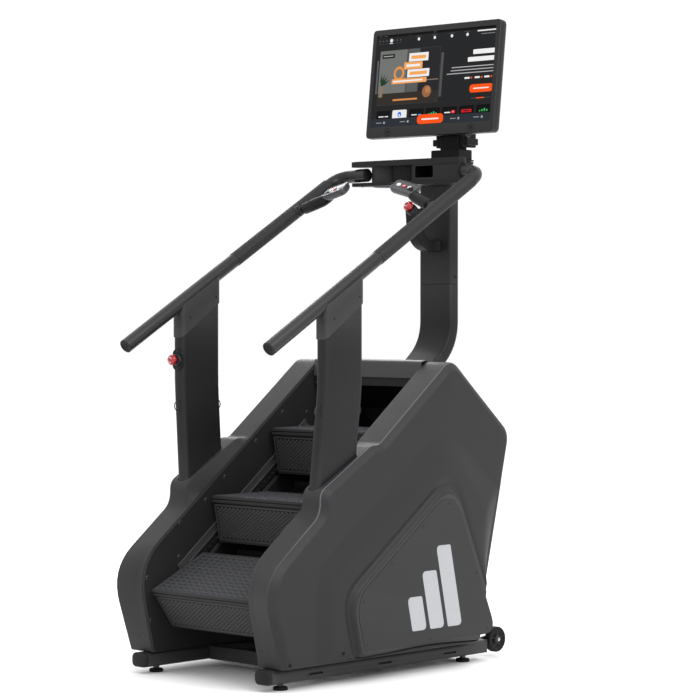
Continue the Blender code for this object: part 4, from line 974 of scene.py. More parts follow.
def stop_button(name, matrix, body, node_name):
    """A red mushroom head with a ribbed rim and two shallow turning arrows."""
    head = turned([(0.0095, -0.0100), (0.0095, -0.0040), (0.0148, -0.0030), (0.0160, -0.0012),
                   (0.0165, 0.0004), (0.0165, 0.0042), (0.0160, 0.0062), (0.0148, 0.0082),
                   (0.0132, 0.0100), (0.0112, 0.0112), (0.0084, 0.0121), (0.0050, 0.0127),
                   (0.0020, 0.0129)], 48)
    meshes = []
    for i in range(24):
        angle = math.tau * i / 24
        rib = block((0.0007, 0.0014, 0.0042), (0.0, 0.0, 0.0))
        rib.transform(Matrix.Rotation(angle, 4, "Z") @ Matrix.Translation((0.01655, 0.0, 0.0024)))
        meshes.append(rib)
    made = piece(name, joined([head, *meshes]), RED, body, node_name)
    made.matrix_world = matrix
    arrows = []
    for start in (0.3, 0.3 + math.pi):
        outer = [Vector((0.0088 * math.cos(start + 0.21 * k), 0.0088 * math.sin(start + 0.21 * k)))
                 for k in range(8)]
        inner = [Vector((0.0072 * math.cos(start + 0.21 * k), 0.0072 * math.sin(start + 0.21 * k)))
                 for k in range(8)]
        tip_angle = start + 0.21 * 7
        head_points = [Vector((0.0102 * math.cos(tip_angle), 0.0102 * math.sin(tip_angle))),
                       Vector((0.0080 * math.cos(tip_angle + 0.45),
                               0.0080 * math.sin(tip_angle + 0.45))),
                       Vector((0.0058 * math.cos(tip_angle), 0.0058 * math.sin(tip_angle)))]
        arrows.append(extruded(outer + head_points + inner[::-1], 0.0100, 0.0126))
    sign = piece(name + "_arrows", joined(arrows), WHITE, body)
    sign.matrix_world = matrix


def make_post_stop():
    place = Vector((-HANDRAIL_X, POST_FRONT_Y, STOP_Z))
    outline = stadium(0.042, 0.066)
    mesh = extruded(outline, -0.0105, 0.0028, facing(place, (0.0, -1.0, 0.0)))
    plate_piece = piece("stop_plate_post", mesh, DARK)
    cut(plate_piece, turned_at(0.0102, -0.02, 0.02, facing(place, (0.0, -1.0, 0.0))))
    bevelled(plate_piece, 0.0012, 3)
    collar = turned_ring([(0.0190, -0.001), (0.0190, 0.0088), (0.0182, 0.0104), (0.0165, 0.0110),
                          (0.0105, 0.0110), (0.0102, -0.001)], 40)
    collar.transform(facing(place, (0.0, -1.0, 0.0)))
    piece("stop_collar_post", collar, BEZEL)
    for_screws = [(place + Vector((0.0, -0.0028, z)), (0.0, -1.0, 0.0)) for z in (-0.0265, 0.0265)]
    screws("stop_plate_screws", for_screws, 0.0030, 0.0010)
    matrix = Matrix.Translation(place + Vector((0.0, -0.0215, 0.0)))
    matrix = matrix @ Matrix.Rotation(math.radians(90.0), 4, "X")
    stop_button("stop_button_head_post", matrix, "post_stop", "estop_button_post")


def turned_at(radius, low, high, matrix, sides=40):
    mesh = turned([(radius, low), (radius, high)], sides)
    mesh.transform(matrix)
    return mesh


def section_ring(centre, along, width, depth, radius, steps=8):
    """Rounded-rectangle section of a box tube, square to its direction in the YZ plane."""
    across = Vector((0.0, along.z, -along.y))
    return [centre + Vector((p.x, 0.0, 0.0)) + across * p.y
            for p in rectangle(width, depth, radius, steps)]


def make_mast_stop():
    """Curved box arm on the mast with its stop button on a round seat."""
    root = Vector((0.0, MAST_Y - MAST_DEPTH / 2.0 - 0.0003, 1.330))
    first = Vector((0.0, 0.455, 1.330))
    middle = Vector((0.0, 0.385, 1.330))
    forward = Vector((0.0, -1.0, 0.0))
    upward = Vector((0.0, -0.10, 1.0)).normalized()
    tip = STOP_ARM_FACE
    rings = [section_ring(root, forward, 0.050, 0.036, 0.008)]
    steps = 18
    for k in range(steps + 1):
        t = k / steps
        centre = bend_at(first, middle, tip - upward * 0.02, t)
        heading = (forward * (1 - t) + upward * t).normalized()
        rings.append(section_ring(centre, heading, 0.050, 0.036, 0.008))
    rings.append(section_ring(tip + upward * 0.0095, upward, 0.050, 0.036, 0.008))
    rings.append(section_ring(tip + upward * 0.0115, upward, 0.048, 0.034, 0.008))
    rings.append(section_ring(tip + upward * 0.0120, upward, 0.045, 0.031, 0.007))
    arm = piece("stop_arm_shell", loft(rings), DARK, cad="estop_arm")
    seat = STOP_ARM_FACE + STOP_HEADING * 0.018
    matrix = Matrix.Translation(seat) @ STOP_HEADING.to_track_quat("Z", "Y").to_matrix().to_4x4()
    cut(arm, turned_at(0.0102, -0.030, 0.02, matrix))
    collar = turned_ring([(0.0190, -0.0150), (0.0190, 0.0018), (0.0182, 0.0034), (0.0165, 0.0040),
                          (0.0105, 0.0040), (0.0102, -0.0150)], 40)
    collar.transform(matrix)
    piece("stop_collar_arm", collar, BEZEL)
    band = [section_ring(first.lerp(root, 0.4), forward, 0.0512, 0.0372, 0.0085),
            section_ring(first.lerp(root, 0.5), forward, 0.0512, 0.0372, 0.0085)]
    piece("stop_arm_seam", loft(band), SOCKET)
    stop_button("stop_button_head_arm", matrix @ Matrix.Translation((0.0, 0.0, 0.0145)),
                "mast_stop", "estop_button_arm")


# ---------------------------------------------------------------- mast and console

def make_mast():
    up = Vector((0.0, 0.0, 1.0))
    foot = MAST_CORNER - MAST_UP * 0.2600
    rings = [section_ring(foot, MAST_UP, MAST_WIDTH, MAST_DEPTH, 0.012)]
    start = MAST_CORNER - MAST_UP * MAST_BEND
    end = MAST_CORNER + up * MAST_BEND
    for k in range(19):
        t = k / 18
        centre = bend_at(start, MAST_CORNER, end, t)
        rings.append(section_ring(centre, (MAST_UP * (1 - t) + up * t).normalized(), MAST_WIDTH,
                                  MAST_DEPTH, 0.012))
    for below, shrink in ((0.0022, 0.0), (0.0012, 0.0006), (0.0007, 0.0020)):
        rings.append(section_ring(Vector((0.0, MAST_Y, MAST_SEAM_Z - below)), up,
                                  MAST_WIDTH - shrink, MAST_DEPTH - shrink, 0.012))
    piece("mast_lower_tube", loft(rings), PAINT, cad="mast_lower")
    foot_matrix = Matrix.Translation(foot - MAST_UP * 0.002)
    foot_matrix = foot_matrix @ Matrix.Rotation(math.atan2(-MAST_UP.y, MAST_UP.z), 4, "X")
    holes = [circle((x, y), 0.006, 20) for x in (-0.200, -0.120, 0.120, 0.200)
             for y in (-0.035, 0.035)]
    foot_plate = extruded(rectangle(0.4740, 0.110, 0.008), -0.003, 0.003, foot_matrix, holes)
    bevelled(piece("mast_foot_plate", foot_plate, PLATE), 0.0008)
    rings = []
    for z, shrink in ((MAST_SEAM_Z + 0.0003, 0.0020), (MAST_SEAM_Z + 0.0008, 0.0006),
                      (MAST_SEAM_Z + 0.0018, 0.0), (1.300, 0.0), (1.420, 0.0), (1.5272, 0.0)):
        rings.append(section_ring(Vector((0.0, MAST_Y, z)), up, MAST_WIDTH - shrink,
                                  MAST_DEPTH - shrink, 0.012))
    piece("mast_upper_tube", loft(rings), PAINT, cad="mast_upper")
    core = block((MAST_WIDTH - 0.0036, MAST_DEPTH - 0.0036, 0.010), (0.0, MAST_Y, MAST_SEAM_Z))
    bevelled(piece("mast_seam_core", core, SOCKET), 0.009, 4)
    meshes = []
    for side in (-1, 1):
        hole = turned_ring([(0.0052, -0.001), (0.0052, 0.0006), (0.0044, 0.0010),
                            (0.0036, 0.0006), (0.0034, -0.001)], 28)
        dark = turned([(0.0036, -0.0006), (0.0036, 0.0001)], 28)
        for mesh in (hole, dark):
            mesh.transform(facing((side * MAST_WIDTH / 2.0, 0.506, 1.2284), (side, 0.0, 0.0)))
            meshes.append(mesh)
    piece("mast_cable_holes", joined(meshes), SOCKET)
    make_mast_grommet()


def make_mast_grommet():
    """Rubber edging where the mast comes out of the top cover."""
    normal = Vector((0.0, -REAR_SLOPE, 1.0)).normalized()
    reach = (rear_slope_z(MAST_CORNER.y) - MAST_CORNER.z) / (REAR_SLOPE * MAST_UP.y - MAST_UP.z)
    middle = MAST_CORNER - MAST_UP * reach
    tilt = 1.0 / normal.dot(MAST_UP)

    def ring(level, grow, radius):
        width = MAST_WIDTH + 2 * grow
        depth = MAST_DEPTH * tilt + 2 * grow
        return section_ring(middle + normal * level, normal, width, depth, radius)

    outer = [ring(-0.004, 0.010, 0.018), ring(0.0022, 0.010, 0.018), ring(0.0044, 0.0082, 0.017),
             ring(0.0052, 0.0058, 0.016)]
    inner = [ring(-0.004, 0.0004, 0.012), ring(0.0030, 0.0004, 0.012), ring(0.0048, 0.0020, 0.013)]
    piece("mast_grommet", sleeve(outer, inner), RUBBER)


def tray_outline(shrink):
    wide = 0.240
    narrow = 0.070
    corners = [(-wide, 0.331, 0.010), (-wide, 0.362, 0.012), (-narrow, 0.545, 0.020),
               (-narrow, 0.600, 0.008), (narrow, 0.600, 0.008), (narrow, 0.545, 0.020),
               (wide, 0.362, 0.012), (wide, 0.331, 0.010)]
    return rounded(offset_corners(corners, shrink), 8)


def make_tray():
    """Console tray: top plate, floor plate, bottle cup on the left and shelf pocket right."""
    top_low = TRAY_TOP - 0.019
    floor_top = TRAY_BOTTOM + 0.012
    flat = Matrix.Identity(4)
    plate_mesh = extruded(tray_outline(0.0), top_low, TRAY_TOP - 0.0012, flat,
                          [circle(CUP_CENTRE, CUP_BORE + 0.0015, 64)])
    top = piece("tray_top", plate_mesh, DARK, cad="console_tray")
    bevelled(top, 0.0026, 3, 50.0)
    sheet = extruded(tray_outline(0.007), TRAY_TOP - 0.0016, TRAY_TOP, flat,
                     [circle(CUP_CENTRE, CUP_BORE + 0.006, 64)])
    bevelled(piece("tray_top_mat", sheet, BEZEL), 0.0006, 2, 50.0)
    bottom = piece("tray_floor", extruded(tray_outline(0.001), TRAY_BOTTOM, floor_top, flat), DARK)
    bevelled(bottom, 0.0030, 3, 50.0)
    cup_wall = turned_ring([(CUP_RADIUS, floor_top - 0.001), (CUP_RADIUS, top_low + 0.001),
                            (CUP_BORE, top_low + 0.001), (CUP_BORE, floor_top + 0.004),
                            (CUP_BORE - 0.006, floor_top - 0.001)], 72)
    lip = turned_ring([(CUP_BORE + 0.0056, TRAY_TOP - 0.002),
                       (CUP_BORE + 0.0056, TRAY_TOP - 0.0004),
                       (CUP_BORE + 0.0040, TRAY_TOP), (CUP_BORE + 0.0016, TRAY_TOP - 0.0004),
                       (CUP_BORE, TRAY_TOP - 0.0030), (CUP_BORE, top_low), (CUP_BORE + 0.0020,
                                                                            top_low)], 72)
    belly = turned([(0.0500, floor_top - 0.006), (0.0500, TRAY_BOTTOM - 0.0005),
                    (0.0470, TRAY_BOTTOM - 0.0026), (0.0400, TRAY_BOTTOM - 0.0036),
                    (0.0120, TRAY_BOTTOM - 0.0040)], 72)
    for name, mesh, finish in (("cup_wall", cup_wall, DARK), ("cup_lip", lip, BEZEL),
                               ("cup_belly", belly, DARK)):
        mesh.transform(Matrix.Translation((*CUP_CENTRE, 0.0)))
        piece(name, mesh, finish)
    grips = []
    for i in range(6):
        fin = block((0.0060, 0.0020, 0.036), (0.0, 0.0, 0.0))
        fin.transform(Matrix.Translation((*CUP_CENTRE, 1.572)) @ Matrix.Rotation(
            math.tau * i / 6, 4, "Z") @ Matrix.Translation((CUP_BORE - 0.0012, 0.0, 0.0)))
        grips.append(fin)
    bevelled(piece("cup_fins", joined(grips), RUBBER), 0.0008)
    make_tray_block(floor_top, top_low)


def make_tray_block(floor_top, top_low):
    outline = rounded([(0.030, 0.335, 0.003), (0.0, 0.374, 0.028), (-0.092, 0.372, 0.008),
                       (-0.092, 0.455, 0.008), (-0.060, 0.540, 0.010), (0.055, 0.540, 0.010),
                       (0.238, 0.362, 0.012), (0.238, 0.334, 0.006)], 8)
    flat = Matrix.Identity(4)
    wall = piece("tray_block", extruded(outline, floor_top - 0.002, top_low + 0.002, flat), DARK)
    opening = rectangle(0.080, 0.040, 0.006, 6)
    matrix = front_plane(0.0) @ Matrix.Translation((POCKET_X, 1.568, 0.0))
    cut(wall, extruded(opening, -0.406, -0.300, matrix))
    bevelled(wall, 0.0012, 2, 50.0)
    frame_ring = extruded(rectangle(0.086, 0.046, 0.008, 6), -0.3362, -0.3340, matrix,
                          [rectangle(0.0785, 0.0385, 0.006, 6)])
    bevelled(piece("tray_pocket_frame", frame_ring, BEZEL), 0.0006, 2,
             50.0)
    mat_mesh = extruded(rectangle(0.074, 0.066, 0.006, 5), 1.5482, 1.5498,
                        Matrix.Translation((POCKET_X, 0.371, 0.0)))
    bevelled(piece("tray_pocket_mat", mat_mesh, RUBBER), 0.0005, 2)
    seat = turned_ring([(0.0265, -0.003), (0.0265, 0.0008), (0.0256, 0.0016),
                        (0.0230, 0.0016), (0.0225, -0.003)], 40)
    seat.transform(facing((0.2385, 0.354, 1.566), (1.0, 0.0, 0.0)))
    piece("tray_rail_seat", seat, RUBBER)
    places = [(Vector((x, y, TRAY_BOTTOM)), (0.0, 0.0, -1.0))
              for x, y in ((-0.205, 0.352), (0.205, 0.352), (-0.050, 0.585), (0.050, 0.585),
                           (0.020, 0.420), (0.110, 0.440))]
    screws("tray_floor_screws", places, 0.0045, 0.0022)
    back_plate = extruded(rectangle(0.112, 0.056, 0.006, 5), -0.0006, 0.0016,
                          facing((0.0, 0.600, 1.5695), (0.0, 1.0, 0.0)))
    bevelled(piece("tray_rear_plate", back_plate, DARK), 0.0006, 2)
    wall_mesh = block((0.136, 0.058, top_low - floor_top + 0.004),
                      (0.0, 0.5695, (top_low + floor_top) / 2.0))
    bevelled(piece("tray_rear_block", wall_mesh, DARK), 0.003)


# ---------------------------------------------------------------- screen

def make_screen():
    face = (Matrix.Translation((0.0, *SCREEN_BOTTOM)) @ Matrix.Rotation(-SCREEN_TILT, 4, "X")
            @ Matrix.Rotation(math.radians(90.0), 4, "X"))
    rings = []
    for out, shrink, radius in ((-0.0370, 0.0300, 0.008), (-0.0362, 0.0180, 0.010),
                                (-0.0335, 0.0080, 0.014), (-0.0285, 0.0022, 0.016),
                                (-0.0230, 0.0, 0.016), (-0.0040, 0.0, 0.016),
                                (-0.0018, 0.0007, 0.0157), (-0.0006, 0.0022, 0.0152),
                                (-0.0001, 0.0042, 0.0145), (0.0, 0.0075, 0.0135)):
        outline = rectangle(2 * SCREEN_HALF_WIDTH - shrink, SCREEN_HEIGHT - shrink, radius, 10)
        rings.append([face @ Vector((p.x, p.y + SCREEN_HEIGHT / 2.0, out)) for p in outline])
    body = piece("screen_body", loft(rings), BEZEL, "display", "screen_housing")
    window = extruded(rectangle(*DISPLAY_SIZE, 0.004, 5), -0.0022, 0.004,
                      face @ Matrix.Translation((0.0, DISPLAY_MIDDLE, 0.0)))
    cut(body, window)
    make_picture(face)
    seam = [face @ Vector((p.x, p.y + SCREEN_HEIGHT / 2.0, 0.0))
            for p in rectangle(2 * SCREEN_HALF_WIDTH + 0.0004, SCREEN_HEIGHT + 0.0004, 0.0162, 10)]
    out_way = (face.to_3x3() @ Vector((0.0, 0.0, 1.0)))
    band = loft([[p - out_way * 0.0121 for p in seam], [p - out_way * 0.0109 for p in seam]])
    piece("screen_seam", band, SOCKET, "display")
    marks = []
    for x in (-0.182, 0.184):
        dish = turned_ring([(0.0135, -0.001), (0.0135, 0.0003), (0.0124, 0.0006),
                            (0.0112, 0.0003), (0.0110, -0.001)], 36)
        dot = turned([(0.0062, -0.001), (0.0060, 0.0004), (0.0030, 0.0006)], 28)
        for mesh in (dish, dot):
            mesh.transform(face @ Matrix.Translation((x, 0.0190, 0.0)))
            marks.append(mesh)
    piece("screen_front_sensors", joined(marks), SOCKET, "display")
    make_screen_back(face)
    make_screen_mount()


def make_picture(face):
    """Generic home page: banner, headline bars, a button, app tiles and a bottom bar."""
    tiles = []

    def bar(left, right, low, high, colour, level, radius=1.5, steps=3):
        outline = rectangle((right - left) / 1000.0, (high - low) / 1000.0, radius / 1000.0, steps)
        centre = (left + right) / 2000.0, (low + high) / 2000.0
        tiles.append((shifted(outline, *centre), colour, level))

    def disc(x, v, radius, colour, level):
        tiles.append((circle((x / 1000.0, v / 1000.0), radius / 1000.0, 24), colour, level))

    draw_header(bar, disc)
    draw_banner(bar, disc, tiles)
    draw_headline(bar, disc)
    draw_app_row(bar, disc, tiles)
    draw_footer(bar, disc)
    meshes = []
    colours = []
    for outline, colour, level in tiles:
        base = -0.0019 if level == 0 else -0.0003 + 0.00004 * (level - 1)
        mesh = extruded(outline, base, -0.0002 + 0.00004 * level)
        meshes.append(mesh)
        colours += [*colour, 1.0] * sum(len(p.vertices) for p in mesh.polygons)
    picture = joined(meshes)
    attribute = picture.attributes.new("picture", "FLOAT_COLOR", "CORNER")
    attribute.data.foreach_set("color", colours)
    piece("screen_picture", placed(picture, face), PICTURE, "display", "screen_glass")


def draw_header(bar, disc):
    """Background, status line, menu dots and the name's bar."""
    bar(-262.7, 262.7, 37.8, 349.2, INK, 0, 3.6, 5)
    bar(-261.7, 261.7, 341, 348.2, BLACK, 1, 1.5)
    for x, width in ((-252, 16), (-230, 16), (-115, 3), (-8, 12)):
        bar(x, x + width, 344, 345.5, GREY, 2, 0.3, 2)
    for x in (-71.6, -1.2, 74, 141.6):
        disc(x, 326.2, 5.2, PALE, 1)
        bar(x - 14, x + 12, 335, 336.2, GREY, 1, 0.3, 2)
    disc(-195, 329, 6.2, PALE, 1)
    bar(-203, -188, 318.5, 320.5, PALE, 1, 0.5, 2)
    for i in (0, 1, 2, 4, 5, 6):
        x = -247 + 15.5 * i
        disc(x, 329, 2.6, GREY, 1)
        bar(x - 4, x + 4, 318.5, 319.7, GREY, 1, 0.3, 2)
    bar(184, 265.5, 333, 337.2, PALE, 1, 1, 2)
    bar(201, 260, 323.5, 325.2, (0.28, 0.28, 0.29), 1, 0.5, 2)
    bar(-252, -245, 150, 264, GREY, 1, 2)
    bar(34, 45, 127, 274, (0.075, 0.075, 0.080), 1, 2)


def draw_headline(bar, disc):
    """Two thick bars for a headline, three thin ones for text, and an orange button."""
    bar(172, 265.5, 259, 274.5, PALE, 1, 3)
    bar(151, 265.5, 235, 250, PALE, 1, 3)
    for x, v in ((83, 218), (80, 207.8), (64, 197.6)):
        bar(x, 265, v, v + 3, (0.42, 0.42, 0.43), 1, 1, 2)
    for x in (142.5, 186, 227):
        bar(x, x + 22, 179, 185, PALE, 1, 1.5, 2)
        disc(x + 30, 182, 3.2, ORANGE, 1)
    bar(167.2, 265.7, 132.5, 159, ORANGE, 1, 12, 6)
    bar(183, 250, 144, 147.8, PALE, 2, 1.2, 2)
    bar(176, 256, 113.2, 114.5, GREY, 1, 0.4, 2)
    bar(198, 232, 112.2, 115.5, ORANGE, 2, 1.2, 2)


def draw_footer(bar, disc):
    bar(-262.3, 262.3, 38.2, 64.8, NAVY, 3, 3)
    bar(-53, 62, 39.5, 71, ORANGE, 4, 15, 6)
    bar(-33, 42, 52.5, 57.5, PALE, 5, 1.5, 2)
    for x in (-225, -118, 105, 205):
        bar(x - 12, x + 12, 50, 52.6, (0.30, 0.31, 0.33), 4, 0.6, 2)
        disc(x + 24, 51.2, 4.2, (0.36, 0.37, 0.39), 4)


def draw_banner(bar, disc, tiles):
    """An empty exercise room: wall, window, plant, mat and ball, with plain label bars."""
    wall = (0.155, 0.160, 0.150)
    bar(-241, 31, 110, 295.5, (0.050, 0.052, 0.050), 1, 3)
    bar(-240, -118, 149, 294.5, wall, 2, 1, 2)
    bar(-114, -64, 149, 294.5, (0.090, 0.095, 0.095), 2, 1, 2)
    bar(-60, 30, 149, 294.5, (0.017, 0.016, 0.018), 2, 1, 2)
    bar(-240, 30, 111, 150, (0.028, 0.022, 0.018), 3, 1, 2)
    bar(-62, 27, 185, 188.5, (0.20, 0.15, 0.13), 3, 0.8, 2)
    root = Vector((-0.2280, 0.1750))
    for k in range(4):
        angle = math.radians(30.0 + 20.0 * k)
        way = Vector((math.cos(angle), math.sin(angle)))
        across = Vector((-way.y, way.x)) * 0.0045
        outline = [root, root + way * 0.020 + across, root + way * 0.044,
                   root + way * 0.020 - across]
        tiles.append((outline, (0.012, 0.045, 0.018), 4))
    bar(-236, -219, 138, 176, (0.22, 0.17, 0.12), 4, 2, 2)
    bar(-170, -60, 123, 129, (0.62, 0.25, 0.07), 4, 2.5)
    disc(-20, 148, 20, (0.30, 0.12, 0.05), 4)
    disc(-16, 153, 11, (0.42, 0.19, 0.08), 5)
    disc(-150, 215, 24, (0.70, 0.27, 0.06), 3)
    disc(-150, 215, 15, wall, 4)
    for left, right, low, high, colour, level in (
            (-108.5, -23, 252, 280, PALE, 5), (-99, -33, 260, 271.5, PEACH, 6),
            (-129, -47, 227, 250.5, PEACH, 5), (-119, -57, 234.5, 243, PALE, 6),
            (-112, -14.7, 199, 225.5, PALE, 5), (-102, -24.7, 207, 218, PEACH, 6),
            (-180, -24.5, 180, 196.5, PEACH, 5), (-174, -42, 185.5, 191, PALE, 6)):
        bar(left, right, low, high, colour, level, 1.2, 2)
    bar(-230.5, -174, 269, 283, (0.015, 0.015, 0.015), 5, 2, 2)
    bar(-225, -182, 274.8, 277.4, (0.45, 0.45, 0.45), 6, 0.6, 2)


def draw_app_row(bar, disc, tiles):
    """Seven rounded tiles with plain coloured signs."""
    lefts = (-238.7, -166, -90, -18.5, 55.3, 128.6, 201)
    colours = (PALE, (0.01, 0.13, 0.85), (0.02, 0.26, 0.62), (0.01, 0.42, 0.15),
               (0.70, 0.02, 0.03), (0.55, 0.01, 0.02), (0.04, 0.42, 0.10))
    for i, (left, colour) in enumerate(zip(lefts, colours)):
        bar(left, left + 64, 56, 91.5, PALE if i == 1 else BLACK, 1, 5)
        x = left + 32
        if i in (0, 2):
            bar(x - 22, x + 2, 70, 73.5, PALE, 2, 1.2, 2)
            bar(x + 6, x + 22, 70, 73.5, colour, 2, 1.2, 2)
        elif i == 1:
            disc(x, 76.5, 8.5, colour, 2)
            disc(x, 74, 3.8, PALE, 3)
        elif i in (3, 6):
            for k, height in enumerate((4, 7, 10, 6)):
                bar(x - 18 + 10 * k, x - 12 + 10 * k, 69, 69 + height, colour, 2, 1, 2)
        elif i == 4:
            bar(x - 22, x + 4, 70, 74, PALE, 2, 1.2, 2)
            bar(x + 8, x + 24, 68.5, 79, colour, 2, 2, 2)
            arrow = mm((x + 14.5, 71.4), (x + 14.5, 76.2), (x + 19, 73.8))
            tiles.append(([Vector(p) for p in arrow], PALE, 3))
        else:
            bar(x - 22, x + 22, 69, 79, colour, 2, 1.5, 2)
            bar(x - 12, x + 12, 72.5, 75.5, BLACK, 3, 0.6, 2)


def make_screen_back(face):
    """Rear shell of the display: raised middle, vent slots, sockets and screws."""
    back = face @ Matrix.Rotation(math.radians(180.0), 4, "Y")

    def ring(width, height, level, radius):
        return [back @ Vector((p.x, p.y + 0.190, level)) for p in rectangle(width, height, radius,
                                                                           8)]

    raised = loft([ring(0.400, 0.240, 0.0355, 0.020), ring(0.396, 0.236, 0.0385, 0.019),
                   ring(0.386, 0.226, 0.0412, 0.017), ring(0.374, 0.214, 0.0420, 0.015)])
    shell = piece("screen_back_shell", raised, DARK, "display")
    slots = []
    for row in range(9):
        for side in (-1, 1):
            slot_outline = [p + Vector((side * 0.128, 0.130 + 0.0130 * row))
                            for p in stadium(0.072, 0.0042, 5)]
            slots.append(extruded(slot_outline, 0.0396, 0.044, back))
    cut(shell, joined(slots))
    places = [(back @ Vector((x, v, 0.0370)), back.to_3x3() @ Vector((0.0, 0.0, 1.0)))
              for x in (-0.245, 0.245) for v in (0.030, 0.185, 0.340)]
    screws("screen_back_screws", places, 0.0036, 0.0012, "display")
    panel = extruded([p + Vector((0.150, 0.052)) for p in rectangle(0.096, 0.026, 0.004, 5)],
                     0.0362, 0.0376, back,
                     [[p + Vector((0.122 + 0.028 * k, 0.052)) for p in rectangle(0.018, 0.010,
                                                                                 0.002, 3)]
                      for k in range(3)])
    bevelled(piece("screen_sockets", panel, DARK, "display"), 0.0004, 2, 50.0)


def make_screen_mount():
    """Tilting bracket behind the display and the neck that it turns on."""
    display = "display"
    mount = block((0.120, 0.088, 0.120), (0.0, 0.539, 1.860))
    bevelled(piece("mount_block", mount, DARK, display), 0.006, 4)
    plate_mesh = block((0.120, 0.024, 0.210), (0.0, 0.586, 1.820))
    bevelled(piece("mount_back_plate", plate_mesh, PLATE, display), 0.005, 4)
    places = [(Vector((x, 0.598, z)), (0.0, 1.0, 0.0))
              for x in (-0.040, 0.040) for z in (1.740, 1.800, 1.900)]
    screws("mount_screws", places, 0.0060, 0.0030, display, STEEL)
    for name, side in SIDES:
        cheek = block((0.020, 0.0665, 0.102), (side * 0.0506, HINGE[0] + 0.01325, 1.709))
        bevelled(piece("hinge_cheek_" + name, cheek, PLATE, display), 0.004, 4)
        ear = block((0.034, 0.056, 0.022), (side * 0.0600, HINGE[0] + 0.010, HINGE[1] + 0.004))
        bevelled(piece("hinge_ear_" + name, ear, PLATE, display), 0.003, 3)
        cap = turned([(0.0130, -0.001), (0.0130, 0.0030), (0.0118, 0.0046), (0.0060, 0.0050),
                      (0.0052, 0.0030)], 32)
        cap.transform(facing((side * 0.0606, HINGE[0], HINGE[1] + 0.028), (side, 0.0, 0.0)))
        piece("hinge_knob_" + name, cap, ZINC, display)
    barrel = turned([(0.0190, -0.0404), (0.0205, -0.0385), (0.0205, -0.0130), (0.0196, -0.0120),
                     (0.0196, 0.0120), (0.0205, 0.0130), (0.0205, 0.0385), (0.0190, 0.0404)], 48)
    barrel.transform(facing((0.0, HINGE[0], HINGE[1] + 0.040), (1.0, 0.0, 0.0)))
    piece("hinge_barrel", barrel, DARK, display)
    bottom = TRAY_TOP + 0.0003
    neck = block((0.124, 0.068, 1.650 - bottom), (0.0, 0.565, (1.650 + bottom) / 2.0))
    bevelled(piece("neck_base", neck, PLATE, cad="screen_neck"), 0.004, 4)
    tongue = block((0.080, 0.046, 0.066), (0.0, HINGE[0], 1.663))
    bevelled(piece("neck_tongue", tongue, PLATE), 0.004, 4)
    flange = block((0.138, 0.076, 0.005), (0.0, 0.562, bottom + 0.0025))
    bevelled(piece("neck_flange", flange, PLATE), 0.0015, 3)
    places = [(Vector((x, y, bottom + 0.005)), (0.0, 0.0, 1.0))
              for x in (-0.0645, 0.0645) for y in (0.534, 0.590)]
    screws("neck_screws", places, 0.0030, 0.0014, BODY, ZINC)


# ---------------------------------------------------------------- middle covers and side plates

def sheet_strip(points, half_width):
    """A bent sheet across the machine that follows (y, z) points."""
    rings = [[Vector((x, y, z)) for y, z in points] for x in (-half_width, half_width)]
    return loft(rings, False, False, closed=False)


def bend_points(before, corner, after, length, steps=8):
    corner = Vector(corner)
    start = corner + (Vector(before) - corner).normalized() * length
    end = corner + (Vector(after) - corner).normalized() * length
    return bend(start, corner, end, steps)


def thickened(made):
    modifier = made.modifiers.new("Solidify", "SOLIDIFY")
    modifier.thickness = 0.003
    modifier.offset = -1.0
    return made


